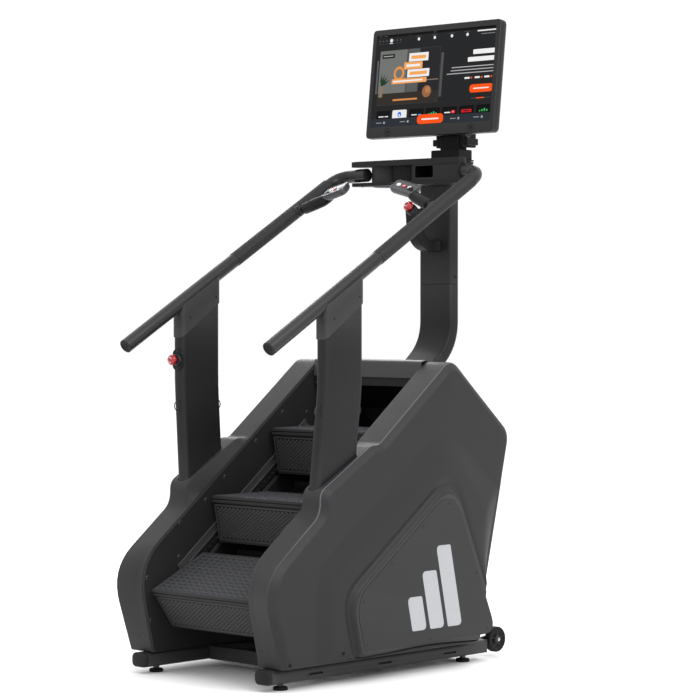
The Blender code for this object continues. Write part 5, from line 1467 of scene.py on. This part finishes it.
def make_middle_covers():
    half_width = COVER_INNER_X - 0.0003
    lip_bottom = (LIP_Y, 0.906)
    lip_top = (LIP_Y + 0.004, rim_z(LIP_Y) + 0.018)
    peak = (PEAK_Y, rim_z(PEAK_Y) - 0.006)
    seam_y = REAR_CORNER_Y - 0.030
    seam = (seam_y, rear_slope_z(seam_y))
    points = ([lip_bottom] + bend_points(lip_bottom, lip_top, peak, 0.008)
              + bend_points(lip_top, peak, seam, 0.014) + [seam])
    top = piece("top_cover_sheet", sheet_strip(points, half_width), COVER, cad="top_cover")
    thickened(top)
    opening = loft([section_ring(MAST_CORNER - MAST_UP * reach, MAST_UP, MAST_WIDTH + 0.008,
                                 MAST_DEPTH + 0.008, 0.012) for reach in (0.200, 0.300)])
    cut(top, opening)
    under = block((2 * half_width - 0.002, 0.005, 0.030), (0.0, LIP_Y + 0.007, 0.893))
    bevelled(piece("top_cover_lip_rail", under, PLATE), 0.001, 2)
    start = (seam_y + 0.0006, rear_slope_z(seam_y + 0.0006))
    knee = (REAR_CORNER_Y, rear_slope_z(REAR_CORNER_Y))
    foot = (rear_y(COVER_BOTTOM + 0.01), COVER_BOTTOM + 0.01)
    points = [start] + bend_points(start, knee, foot, 0.024, 12) + [foot]
    rear = piece("rear_cover_sheet", sheet_strip(points, half_width), COVER, cad="rear_cover")
    thickened(rear)
    back = facing((0.0, rear_y(0.43), 0.43), (0.0, 1.0, -REAR_LEAN))
    slots = []
    for row in range(11):
        for side in (-1, 1):
            outline = [p + Vector((side * 0.105, -0.175 - 0.0145 * row))
                       for p in stadium(0.130, 0.0060, 6)]
            slots.append(extruded(outline, -0.012, 0.012, back))
    cut(rear, joined(slots))
    mesh_plate = extruded(rectangle(0.380, 0.190, 0.006), -0.0085, -0.0065,
                          back @ Matrix.Translation((0.0, -0.2475, 0.0)))
    bevelled(piece("rear_vent_screen", mesh_plate, SOCKET), 0.0005, 1)
    label = extruded(rectangle(0.090, 0.050, 0.004, 4), 0.0, 0.0005,
                     back @ Matrix.Translation((0.0, 0.130, 0.0)))
    bevelled(piece("blank_rating_plate", label, SILVER), 0.0002, 1)
    ribs = []
    for x in (-0.150, 0.150):
        outline = [p + Vector((x, 0.060)) for p in rectangle(0.012, 0.330, 0.005, 4)]
        ribs.append(extruded(outline, -0.001, 0.0022, back))
    bevelled(piece("rear_cover_ribs", joined(ribs), COVER), 0.0010)
    places = []
    for side in (-1, 1):
        for z in (0.105, 0.270, 0.435, 0.600, 0.700):
            places.append((Vector((side * (half_width - 0.014), rear_y(z), z)),
                           (0.0, 1.0, -REAR_LEAN)))
        for y in (seam_y - 0.016, seam_y - 0.120):
            places.append((Vector((side * (half_width - 0.014), y, rear_slope_z(y))),
                           (0.0, -REAR_SLOPE, 1.0)))
    screws("rear_cover_screws", places, 0.0044, 0.0016)


def up_incline(start, distance):
    return (start[0] + distance * math.cos(INCLINE), start[1] + distance * math.sin(INCLINE))


UPPER_SHAFT = up_incline(LOWER_SHAFT, 2.0 * PITCH)


def incline_bar(side, x, width, low, high, run_low, run_high):
    """A bar parallel to the incline, between two heights square to it."""
    along = Vector((0.0, math.cos(INCLINE), math.sin(INCLINE)))
    normal = Vector((0.0, -math.sin(INCLINE), math.cos(INCLINE)))
    base = Vector((side * x, *LOWER_SHAFT))
    middle = base + along * ((run_low + run_high) / 2.0) + normal * ((low + high) / 2.0)
    turn = Matrix.Rotation(INCLINE, 4, "X")
    return block((width, run_high - run_low, high - low), middle, turn)


def make_side_plates():
    """Screws and step guides on the steel side plates."""
    heads = ((-0.4413, 0.4595), (-0.4458, 0.3539), (-0.5630, 0.1682), (-0.2479, 0.5930),
             (-0.1106, 0.7014), (0.1224, 0.7868), (-0.5780, 0.3000), (0.2600, 0.8200),
             (0.0100, 0.7900), (-0.3300, 0.5250))
    for name, side in SIDES:
        plate_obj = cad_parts["side_frame_" + name]
        finish_node(plate_obj, PLATE)
        bevelled(plate_obj, 0.0006, 2, 50.0)
        places = [(Vector((side * SIDE_PLATE_FACE_X, y, z)), (-side, 0.0, 0.0)) for y, z in heads]
        screws("side_plate_screws_" + name, places, 0.0058, 0.0022, BODY, STEEL_DARK)
        washers = []
        for y, z in heads:
            washer = turned_ring([(0.0082, -0.0004), (0.0082, 0.0006), (0.0076, 0.0010),
                                  (0.0056, 0.0010), (0.0055, -0.0004)], 28)
            washer.transform(facing((side * SIDE_PLATE_FACE_X, y, z), (-side, 0.0, 0.0)))
            washers.append(washer)
        piece("side_plate_washers_" + name, joined(washers), PAINT)
        run = 2.0 * PITCH
        bars = [incline_bar(side, 0.2344, 0.0062, 0.0665, 0.0705, -0.030, run + 0.020),
                incline_bar(side, 0.2362, 0.0026, 0.0705, 0.0900, -0.030, run + 0.020),
                incline_bar(side, 0.2344, 0.0062, 0.0900, 0.0930, -0.030, run + 0.020),
                incline_bar(side, 0.2360, 0.0030, 0.0200, 0.0320, 0.030, run - 0.030)]
        bevelled(piece("step_guides_" + name, joined(bars), GUIDE), 0.0006, 2)


def finish_node(made, material):
    """Give a kept solid its finish."""
    made.data.materials.clear()
    made.data.materials.append(material)
    return made


# ---------------------------------------------------------------- steps

def zigzag_ridge(y, z, half_width, period, swing, width, height):
    """One raised zigzag line across a tread, as a closed bar."""
    count = int(2 * half_width / period * 2)
    rings = []
    for k in range(count + 1):
        x = -half_width + k * period / 2.0
        middle = y + (swing if k % 2 else -swing)
        rings.append([Vector((x, middle - width / 2.0, z - 0.0003)),
                      Vector((x, middle - width * 0.32, z + height)),
                      Vector((x, middle + width * 0.32, z + height)),
                      Vector((x, middle + width / 2.0, z - 0.0003))])
    return loft(rings)


def stud(centre, length, width, height, matrix):
    """A small raised hexagon on a riser, as rings from its foot to its top."""
    rings = []
    for level, share in ((-0.0003, 1.0), (height * 0.6, 0.90), (height, 0.66)):
        rings.append([matrix @ Vector((centre[0] + u * length / 2.0 * share,
                                       centre[1] + v * width / 2.0 * share, level))
                      for u, v in ((-1.0, 0.0), (-0.55, 1.0), (0.55, 1.0), (1.0, 0.0),
                                   (0.55, -1.0), (-0.55, -1.0))])
    return rings


def step_meshes():
    """The step's body, tread ridges, riser pattern and rubber nose, round the sprocket's centre."""
    axle = (-math.sin(INCLINE) * SPROCKET_RADIUS, math.cos(INCLINE) * SPROCKET_RADIUS)
    nose = Vector((axle[0] - 0.1558, axle[1] + 0.035))
    beam = 0.050
    outline = [(0.0016, -0.0002), (0.0004, -0.0008), (0.0, -0.0020), (0.0, -0.0085),
               (0.0018, -0.0094), (0.0018, -0.0118), (0.0, -0.0128), (0.0, -0.0200),
               (0.0006, -0.0214), (0.0020, -0.0220), (0.0058, -0.0222), (0.0064, -0.0262),
               (0.0279, -0.1420), (0.0285, -0.1475), (0.0385, -0.1475), (0.0220, -0.0180),
               (0.1318, -0.0180), (0.1358, -beam), (0.1758, -beam), (0.1798, -0.0180),
               (0.2400, -0.0180), (0.2400, -0.0012), (0.2388, -0.0002)]
    flat = side_plane(0.0)
    points = [nose + Vector(p) for p in outline]
    body = extruded(points, -STEP_HALF_WIDTH, STEP_HALF_WIDTH, flat)
    ridges = []
    for row in range(12):
        y = nose.x + 0.0190 + row * 0.0186
        ridges.append(zigzag_ridge(y, nose.y - 0.0002, STEP_HALF_WIDTH - 0.008, 0.0270, 0.0046,
                                   0.0090, 0.0018))
    nose_bars = []
    for low, high in ((0.0028, 0.0052), (0.0072, 0.0096)):
        nose_bars.append(block((2 * STEP_HALF_WIDTH - 0.006, high - low, 0.0016),
                               (0.0, nose.x + (low + high) / 2.0, nose.y + 0.0002)))
    top = nose + Vector((0.0064, -0.0262))
    foot = nose + Vector((0.0279, -0.1420))
    down = (foot - top).normalized()
    out = Vector((down.y, -down.x))
    if out.x > 0:
        out = -out
    riser = Matrix(((1, 0, 0, 0.0), (0, -down.x, out.x, top.x), (0, -down.y, out.y, top.y),
                    (0, 0, 0, 1)))
    length = (foot - top).length
    bm = bmesh.new()
    columns = 47
    for column in range(columns):
        for row in range(9):
            x = (column - (columns - 1) / 2.0) * 0.0090
            v = -0.0130 - row * 0.0116 - (0.0058 if column % 2 else 0.0)
            if -v > length - 0.010:
                continue
            rings = stud((x, v), 0.0122, 0.0086, 0.0016, riser)
            rows_made = [[bm.verts.new(p) for p in ring] for ring in rings]
            for lower, upper in zip(rows_made, rows_made[1:]):
                for i in range(6):
                    j = (i + 1) % 6
                    bm.faces.new((lower[i], lower[j], upper[j], upper[i]))
            bm.faces.new(rows_made[0])
            bm.faces.new(rows_made[-1])
    pattern = finished(bm)
    borders = []
    for v0, v1 in ((-0.0060, -0.0010), (-length + 0.0010, -length + 0.0060)):
        borders.append(block((2 * STEP_HALF_WIDTH - 0.002, v1 - v0, 0.0016), (0.0, 0.0, 0.0)))
        borders[-1].transform(riser @ Matrix.Translation((0.0, (v0 + v1) / 2.0, 0.0003)))
    for x in (-STEP_HALF_WIDTH + 0.0035, STEP_HALF_WIDTH - 0.0035):
        borders.append(block((0.005, length - 0.002, 0.0016), (0.0, 0.0, 0.0)))
        borders[-1].transform(riser @ Matrix.Translation((x, -length / 2.0, 0.0003)))
    rod = turned([(0.0088, -0.2228), (0.0090, -0.2222), (0.0090, 0.2222), (0.0088, 0.2228)], 28)
    rod.transform(facing((0.0, *axle), (1.0, 0.0, 0.0)))
    return {"body": (body, STEP), "ridges": (joined(ridges), TREAD),
            "nose": (joined(nose_bars), TREAD), "riser": (joined([pattern, *borders]), RISER),
            "axle": (rod, STEEL)}


def make_steps():
    first_on_chain = PITCH - SPROCKET_RADIUS * FIRST_STEP_TURN
    run = 2.0 * PITCH
    half_turn = math.pi * SPROCKET_RADIUS
    places = {"step_1": (0.0, FIRST_STEP_TURN, "first_step")}
    for number in (2, 3):
        places[f"step_{number}"] = (first_on_chain + (number - 2) * PITCH, 0.0, "front_steps")
    for number in (4, 5):
        past_top = first_on_chain + (number - 2) * PITCH - run - half_turn
        places[f"step_{number}"] = (run - past_top, math.pi, "return_steps")
    meshes = step_meshes()
    for name, (distance, turn, body) in places.items():
        matrix = Matrix.Translation((0.0, *up_incline(LOWER_SHAFT, distance)))
        matrix = matrix @ Matrix.Rotation(turn, 4, "X")
        for label, (mesh, finish) in meshes.items():
            cad = name if label == "body" else None
            made = piece(f"{name}_{label}", mesh.copy(), finish, body, cad)
            made.matrix_world = matrix
            if cad:
                bevelled(made, 0.0006, 2, 40.0)


# ---------------------------------------------------------------- chains and drive

def chain_path(count):
    """Evenly spaced (y, z) places round the two sprockets."""
    along = Vector((math.cos(INCLINE), math.sin(INCLINE)))
    normal = Vector((-along.y, along.x))
    run = 2.0 * PITCH
    turn = math.pi * SPROCKET_RADIUS
    low = Vector(LOWER_SHAFT)
    high = Vector(UPPER_SHAFT)
    places = []
    for i in range(count):
        s = (2.0 * run + 2.0 * turn) * i / count
        if s < run:
            place = low + normal * SPROCKET_RADIUS + along * s
        elif s < run + turn:
            angle = (s - run) / SPROCKET_RADIUS
            place = high + (normal * math.cos(angle) + along * math.sin(angle)) * SPROCKET_RADIUS
        elif s < 2.0 * run + turn:
            place = high - normal * SPROCKET_RADIUS - along * (s - run - turn)
        else:
            angle = (s - 2.0 * run - turn) / SPROCKET_RADIUS
            place = low - (normal * math.cos(angle) + along * math.sin(angle)) * SPROCKET_RADIUS
        places.append(place)
    return places


def make_chains():
    places = chain_path(CHAIN_LINKS)
    link_length = 5.0 * PITCH / CHAIN_LINKS
    for name, side in SIDES:
        plates = []
        rollers = []
        for i, place in enumerate(places):
            ahead = places[(i + 1) % CHAIN_LINKS]
            middle = (place + ahead) / 2.0
            way = ahead - place
            turn = math.atan2(way.y, way.x)
            outline = [Matrix.Rotation(turn, 2) @ p + middle
                       for p in stadium(link_length + 0.0068, 0.0080, 3)]
            reach = 0.0034 if i % 2 else 0.0022
            for face in (-1, 1):
                x = side * CHAIN_X + face * reach
                plates.append(prism_x(outline, x - 0.0005, x + 0.0005))
            roller = turned([(0.0032, -0.0019), (0.0032, 0.0019)], 10)
            roller.transform(facing((side * CHAIN_X, place.x, place.y), (1.0, 0.0, 0.0)))
            rollers.append(roller)
            pin = turned([(0.0014, -0.0042), (0.0014, 0.0042)], 8)
            pin.transform(facing((side * CHAIN_X, place.x, place.y), (1.0, 0.0, 0.0)))
            rollers.append(pin)
        piece("chain_plates_" + name, joined(plates), STEEL_DARK, cad="step_chain_" + name)
        piece("chain_rollers_" + name, joined(rollers), STEEL)


def prism_x(outline, low, high):
    """Push a (y, z) outline between two x places."""
    return loft([[Vector((x, p.x, p.y)) for p in outline] for x in (low, high)])


def gear_outline(teeth, root, tip, centre=(0.0, 0.0)):
    points = []
    for i in range(teeth):
        for share, radius in ((-0.30, root), (-0.14, tip), (0.14, tip), (0.30, root)):
            angle = math.tau * (i + share) / teeth
            points.append(Vector((centre[0] + radius * math.cos(angle),
                                  centre[1] + radius * math.sin(angle))))
    return points


def make_drive():
    """Toothed sprockets and shafts, with finishes for the solids kept inside the covers."""
    for label, centre, far_end, body in (("idler", LOWER_SHAFT, 0.266, "idler"),
                                         ("drive", UPPER_SHAFT, 0.299, "drive")):
        meshes = []
        for side in (-1, 1):
            outline = gear_outline(16, SPROCKET_RADIUS - 0.0085, SPROCKET_RADIUS - 0.0040,
                                   centre)
            holes = [circle((centre[0] + 0.030 * math.cos(math.tau * k / 5),
                             centre[1] + 0.030 * math.sin(math.tau * k / 5)), 0.008, 16)
                     for k in range(5)]
            x = side * CHAIN_X
            meshes.append(extruded(outline, x - 0.0015, x + 0.0015, side_plane(0.0), holes))
        rod = turned([(0.0115, -0.266), (0.0125, -0.265), (0.0125, far_end - 0.001),
                      (0.0115, far_end)], 32)
        rod.transform(facing((0.0, *centre), (1.0, 0.0, 0.0)))
        meshes.append(rod)
        shaft = piece(label + "_sprockets", joined(meshes), STEEL_DARK, body, label + "_shaft")
        shaft.data.set_sharp_from_angle(angle=math.radians(30.0))
    rim = [(0.0840, -0.0110), (0.0840, -0.0095)]
    for k in range(6):
        z = -0.0085 + 0.0030 * k
        rim += [(0.0830, z), (0.0820, z + 0.0010), (0.0830, z + 0.0020)]
    rim += [(0.0840, 0.0105), (0.0840, 0.0110), (0.0720, 0.0110), (0.0700, 0.0040),
            (0.0240, 0.0040), (0.0225, 0.0110), (0.0, 0.0110)]
    pulley = turned([(0.0, -0.0110)] + rim, 72)
    pulley.transform(facing((0.284, *UPPER_SHAFT), (1.0, 0.0, 0.0)))
    piece("drive_pulley", pulley, CAST, "drive")
    for node_name, finish in (("generator", CAST), ("generator_pulley", STEEL_DARK),
                              ("drive_belt", RUBBER), ("drive_bearing_left", CAST),
                              ("drive_bearing_right", CAST), ("idler_bearing_left", CAST),
                              ("idler_bearing_right", CAST), ("power_inlet", DARK)):
        finish_node(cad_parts[node_name], finish)
        bevelled(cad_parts[node_name], 0.0007, 2, 40.0)
    fins = []
    for k in range(7):
        x = 0.166 + 0.010 * k
        ring = turned_ring([(0.0825, -0.0012), (0.0825, 0.0012), (0.0790, 0.0012),
                            (0.0790, -0.0012)], 48)
        ring.transform(facing((x, *GENERATOR_AT), (1.0, 0.0, 0.0)))
        fins.append(ring)
    piece("generator_fins", joined(fins), CAST)
    pins = []
    for x in (-0.008, 0.0, 0.008):
        pin = block((0.0022, 0.007, 0.0050), (0.120 + x, 0.3635, 0.043))
        pins.append(pin)
    piece("inlet_pins", joined(pins), STEEL)
    flange = extruded(rectangle(0.062, 0.036, 0.005, 5), -0.0005, 0.0018,
                      facing(INLET_AT, (0.0, 1.0, 0.0)),
                      [rectangle(0.031, 0.019, 0.002, 3)])
    bevelled(piece("inlet_flange", flange, DARK), 0.0006, 2, 50.0)


# ---------------------------------------------------------------- base

def make_base():
    rail_z = (RAIL_TOP + RAIL_BOTTOM) / 2.0
    height = RAIL_TOP - RAIL_BOTTOM
    for name, side in SIDES:
        outline = [p + Vector((side * RAIL_X, rail_z)) for p in rectangle(RAIL_WIDTH, height,
                                                                         0.019, 10)]
        hole = [p + Vector((side * RAIL_X, rail_z))
                for p in rectangle(RAIL_WIDTH - 0.006, height - 0.006, 0.016, 10)]
        rail = piece("base_tube_" + name,
                     extruded(outline, -RAIL_REAR, -RAIL_FRONT, front_plane(0.0), [hole]), PAINT,
                     cad="base_rail_" + name)
        slots = []
        for y in (-0.391, -0.088, 0.214):
            matrix = side_plane(0.0) @ Matrix.Translation((y, 0.0400, 0.0))
            x = side * (RAIL_X + RAIL_WIDTH / 2.0)
            slots.append(extruded(stadium(0.060, 0.0065, 6), x - 0.006, x + 0.006, matrix))
        cut(rail, joined(slots))
        backing = []
        for y in (-0.391, -0.088, 0.214):
            x = side * (RAIL_X + RAIL_WIDTH / 2.0 - 0.0050)
            backing.append(block((0.002, 0.070, 0.014), (x, y, 0.0400)))
        piece("base_slot_inserts_" + name, joined(backing), SOCKET)
        make_rail_cap(name, side, rail_z, height)
        make_wheel(name, side, rail_z)
        for end, y in (("front", -0.510), ("rear", 0.310)):
            make_foot(f"{end}_{name}", side * 0.273, y)
        rivets = [(Vector((side * (RAIL_X + 0.012), y, RAIL_TOP)), (0.0, 0.0, 1.0))
                  for y in (-0.545, 0.372)]
        screws("base_rivets_" + name, rivets, 0.0050, 0.0014)
    for node_name in ("cross_tube_front", "cross_tube_rear"):
        finish_node(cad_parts[node_name], PAINT)
        bevelled(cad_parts[node_name], 0.0022, 3, 40.0)
    welds = []
    for side in (-1, 1):
        for y, width in ((-0.290, 0.050), (0.330, 0.040)):
            x = side * (RAIL_X - RAIL_WIDTH / 2.0 - 0.0004)
            bead = block((0.0034, width + 0.004, 0.0034), (x, y, rail_z + 0.0200))
            welds.append(bead)
    bevelled(piece("cross_tube_welds", joined(welds), PAINT), 0.0014, 3)


def make_rail_cap(name, side, rail_z, height):
    """Moulded cap on the front end of a base rail."""
    rings = []
    for y, shrink in ((0.0, 0.0), (-0.0050, 0.0), (-0.0085, 0.0016), (-0.0108, 0.0050),
                      (-0.0119, 0.0110)):
        rings.append([Vector((side * RAIL_X + p.x, RAIL_FRONT - 0.0003 + y, rail_z + p.y))
                      for p in rectangle(RAIL_WIDTH - shrink, height - shrink,
                                         max(0.006, 0.019 - shrink * 0.5), 10)])
    piece("rail_cap_" + name, loft(rings), DARK, cad="rail_end_cap_" + name)


def make_wheel(name, side, rail_z):
    """Transport wheel with its end plate, arm and axle."""
    x = side * RAIL_X
    end_plate = block((RAIL_WIDTH - 0.004, 0.006, 0.041), (x, RAIL_REAR + 0.003, rail_z))
    bevelled(piece("wheel_end_plate_" + name, end_plate, PAINT), 0.0018)
    arm_x = side * (RAIL_X - 0.0175)
    outline = rounded([(RAIL_REAR + 0.002, 0.0290, 0.004), (RAIL_REAR + 0.002, 0.0620, 0.010),
                       (0.4900, 0.0740, 0.016), (0.4900, 0.0380, 0.016)], 8)
    arm = extruded(outline, arm_x - 0.003, arm_x + 0.003, side_plane(0.0))
    bevelled(piece("wheel_arm_" + name, arm, PAINT), 0.0008, 2, 50.0)
    pin = turned([(0.0055, -0.0175), (0.0060, -0.0170), (0.0060, 0.0170), (0.0052, 0.0182),
                  (0.0030, 0.0186)], 32)
    pin.transform(facing((side * (RAIL_X + 0.0005), *WHEEL_AXLE), (side, 0.0, 0.0)))
    piece("wheel_pin_" + name, pin, STEEL)
    tyre = turned_ring([(0.0300, 0.0095), (0.0330, 0.0110), (0.0385, 0.0110), (0.0402, 0.0100),
                        (0.0410, 0.0075), (0.0410, 0.0030), (0.0404, 0.0024), (0.0404, -0.0024),
                        (0.0410, -0.0030), (0.0410, -0.0075), (0.0402, -0.0100),
                        (0.0385, -0.0110), (0.0330, -0.0110), (0.0300, -0.0095)], 64)
    hub = turned_ring([(0.0063, 0.0118), (0.0130, 0.0118), (0.0142, 0.0108), (0.0150, 0.0072),
                       (0.0280, 0.0072), (0.0302, 0.0085), (0.0302, -0.0085),
                       (0.0280, -0.0072), (0.0150, -0.0072), (0.0142, -0.0108),
                       (0.0130, -0.0118), (0.0063, -0.0118)], 56)
    spokes = []
    for k in range(5):
        for face in (-1, 1):
            spoke = block((0.0034, 0.0150, 0.0020), (0.0, 0.0215, face * 0.0078))
            spoke.transform(Matrix.Rotation(math.tau * k / 5, 4, "Z"))
            spokes.append(spoke)
    place = facing((side * (RAIL_X + 0.001), *WHEEL_AXLE), (side, 0.0, 0.0))
    for label, mesh, finish, cad in (("tyre", tyre, RUBBER, "transport_wheel_" + name),
                                     ("hub", joined([hub, *spokes]), DARK, None)):
        piece(f"wheel_{label}_{name}", placed(mesh, place), finish, "wheel_" + name, cad)


def make_foot(name, x, y):
    """Levelling foot: threaded stud, hex nut and ribbed rubber pad."""
    body = "levelling_foot_" + name
    pad = turned([(0.0, 0.0), (0.0205, 0.0), (0.0218, 0.0010), (0.0220, 0.0022),
                  (0.0214, 0.0030), (0.0220, 0.0038), (0.0220, 0.0052), (0.0214, 0.0060),
                  (0.0220, 0.0068), (0.0216, 0.0084), (0.0196, 0.0104), (0.0100, 0.0122),
                  (0.0, 0.0124)], 48)
    made = piece("foot_pad_" + name, pad, RUBBER, body, "foot_" + name)
    made.matrix_world = Matrix.Translation((x, y, 0.0))
    profile = [(0.0052, 0.0120)]
    z = 0.0185
    while z < 0.0510:
        profile += [(0.0052, z), (0.0060, z + 0.0007)]
        z += 0.0014
    stud = turned(profile + [(0.0052, 0.0520)], 20)
    nut = extruded([Vector((0.0100 * math.cos(math.tau * k / 6), 0.0100 * math.sin(
        math.tau * k / 6))) for k in range(6)], 0.0126, 0.0180)
    holder = piece("foot_stud_" + name, joined([stud, nut]), ZINC, body)
    holder.matrix_world = Matrix.Translation((x, y, 0.0))


# ---------------------------------------------------------------- marks and cover fasteners

def surface_place(tree, origin, way):
    """Where a ray meets a mesh, and the surface's direction there."""
    hit, normal, _, _ = tree.ray_cast(Vector(origin), Vector(way))
    if normal.dot(Vector(way)) > 0.0:
        normal = -normal
    return hit, normal


def make_cover_details():
    inset = rounded(offset_corners(PANEL_CORNERS, 0.0115), 24)
    wanted = ((-0.262, 0.112), (-0.292, 0.262), (-0.160, 0.378), (-0.020, 0.482), (0.258, 0.300),
              (0.030, 0.112), (0.300, 0.112), (0.120, 0.520))
    for name, side in SIDES:
        shell = bpy.data.objects["cover_shell_" + name]
        tree = BVHTree.FromObject(shell, bpy.context.evaluated_depsgraph_get())
        way = (-side, 0.0, 0.0)
        places = [surface_place(tree, (side * 0.6, y, z), way)
                  for y, z in ((-0.545, 0.0830), (-0.3375, 0.0997), (0.2717, 0.0850))]
        screws("cover_bolts_" + name, places, 0.0056, 0.0016, BODY, SOCKET)
        places = []
        for spot in wanted:
            best = min(inset, key=lambda p: (p - Vector(spot)).length)
            if (best - Vector(spot)).length > 0.030:
                best = nearest_on_outline(inset, Vector(spot))
            places.append((Vector((side * (PANEL_FACE_X - 0.0003), best.x, best.y)),
                           (side, 0.0, 0.0)))
        screws("panel_screws_" + name, places, 0.0034, 0.0006, BODY, SOCKET)
        hit, normal = surface_place(tree, (side * 0.2684, -1.0, 0.1223), (0.0, 1.0, 0.0))
        plug = turned([(0.0105, -0.001), (0.0105, 0.0004), (0.0098, 0.0009), (0.0088, 0.0006),
                       (0.0084, -0.0004), (0.0070, -0.0006)], 36)
        plug.transform(facing(hit, normal))
        piece("leg_plug_" + name, plug, COVER)
        make_mark(name, side)


def nearest_on_outline(outline, spot):
    best = None
    for a, b in zip(outline, outline[1:] + outline[:1]):
        edge = b - a
        if edge.length < 1e-6:
            continue
        share = min(1.0, max(0.0, (spot - a).dot(edge) / edge.length_squared))
        place = a + edge * share
        if best is None or (place - spot).length < (best - spot).length:
            best = place
    return best


def make_mark(name, side):
    """Plain decoration on the access panel: three rising slanted bars."""
    bars = []
    for foot, height in ((-0.052, 0.105), (0.030, 0.180), (0.112, 0.255)):
        low = 0.140
        lean = 0.055 * height / 0.255
        corners = [(foot, low, 0.006), (foot - lean, low + height, 0.020),
                   (foot - lean + 0.066, low + height, 0.006), (foot + 0.066, low, 0.020)]
        low_x, high_x = sorted((side * (BOSS_TOP_X + 0.0017), side * (BOSS_TOP_X + 0.0025)))
        bars.append(extruded(rounded(corners, 8), low_x, high_x, side_plane(0.0)))
    piece("panel_mark_" + name, joined(bars), SILVER)


# ---------------------------------------------------------------- stage

# The dome's strength at the horizon and overhead
DOME_LOW = 1.02
DOME_HIGH = 1.55
FLOOR_COLOUR = (0.90, 0.90, 0.90)
LIGHTS = (("key", 110.0, (2.6, 2.6), (3.4, -0.8, 3.6), (0.3, 0.0, 0.6)),
          ("rear_fill", 85.0, (2.4, 2.4), (-2.4, 2.6, 3.0), (0.0, 0.1, 0.9)))


def make_dome():
    """White studio all round: level light at the horizon, stronger overhead."""
    world = bpy.data.worlds.new("studio")
    world.use_nodes = True
    tree = world.node_tree
    back = tree.nodes["Background"]
    back.inputs["Color"].default_value = (1.0, 1.0, 1.0, 1.0)
    direction = node(tree, "ShaderNodeTexCoord").outputs["Generated"]
    height = node(tree, "ShaderNodeSeparateXYZ")
    link(tree, direction, height.inputs["Vector"])
    strength = ranged(tree, height.outputs["Z"], DOME_LOW, DOME_HIGH, 0.06, 0.95)
    link(tree, strength, back.inputs["Strength"])
    bpy.context.scene.world = world


def make_area_light(name, energy, size, place, target):
    lamp = bpy.data.lights.new(name, "AREA")
    lamp.shape = "RECTANGLE"
    lamp.size = size[0]
    lamp.size_y = size[1]
    lamp.energy = energy
    holder = bpy.data.objects.new(name, lamp)
    holder.location = place
    holder.rotation_mode = "QUATERNION"
    holder.rotation_quaternion = (Vector(target) - Vector(place)).to_track_quat("-Z", "Y")
    bpy.context.scene.collection.objects.link(holder)


def make_stage():
    floor_mesh = block((40.0, 40.0, 0.02), (0.0, 6.0, -0.0101))
    floor = bpy.data.objects.new("floor", floor_mesh)
    bpy.context.scene.collection.objects.link(floor)
    paper = bpy.data.materials.new("floor_paper")
    paper.use_nodes = True
    shader = paper.node_tree.nodes["Principled BSDF"]
    shader.inputs["Roughness"].default_value = 0.8
    shader.inputs["Specular IOR Level"].default_value = 0.0
    tree = paper.node_tree
    coords = node(tree, "ShaderNodeTexCoord").outputs["Object"]
    link(tree, mixed(tree, noise(tree, 3.0, 3.0, 0.5, coords), scaled(FLOOR_COLOUR, 0.99),
                     FLOOR_COLOUR), shader.inputs["Base Color"])
    floor_mesh.materials.append(paper)
    make_dome()
    for light in LIGHTS:
        make_area_light(*light)
    bpy.context.scene.view_settings.view_transform = "Standard"


def make_camera():
    azimuth = math.radians(43.558)
    elevation = math.radians(1.168)
    back = Vector((math.sin(azimuth) * math.cos(elevation),
                   -math.cos(azimuth) * math.cos(elevation), math.sin(elevation)))
    data = bpy.data.cameras.new("camera")
    data.lens = 131.70
    data.sensor_width = 36.0
    data.clip_start = 0.1
    data.clip_end = 100.0
    camera = bpy.data.objects.new("camera", data)
    camera.location = (5.62776, -5.84248, 1.15990)
    camera.rotation_mode = "QUATERNION"
    camera.rotation_quaternion = (-back).to_track_quat("-Z", "Y")
    bpy.context.scene.collection.objects.link(camera)
    bpy.context.scene.camera = camera


make_side_covers()
make_posts()
make_handrails()
make_grips()
make_post_stop()
make_mast_stop()
make_mast()
make_tray()
make_screen()
make_middle_covers()
make_side_plates()
make_steps()
make_chains()
make_drive()
make_base()
make_cover_details()
make_stage()
make_camera()
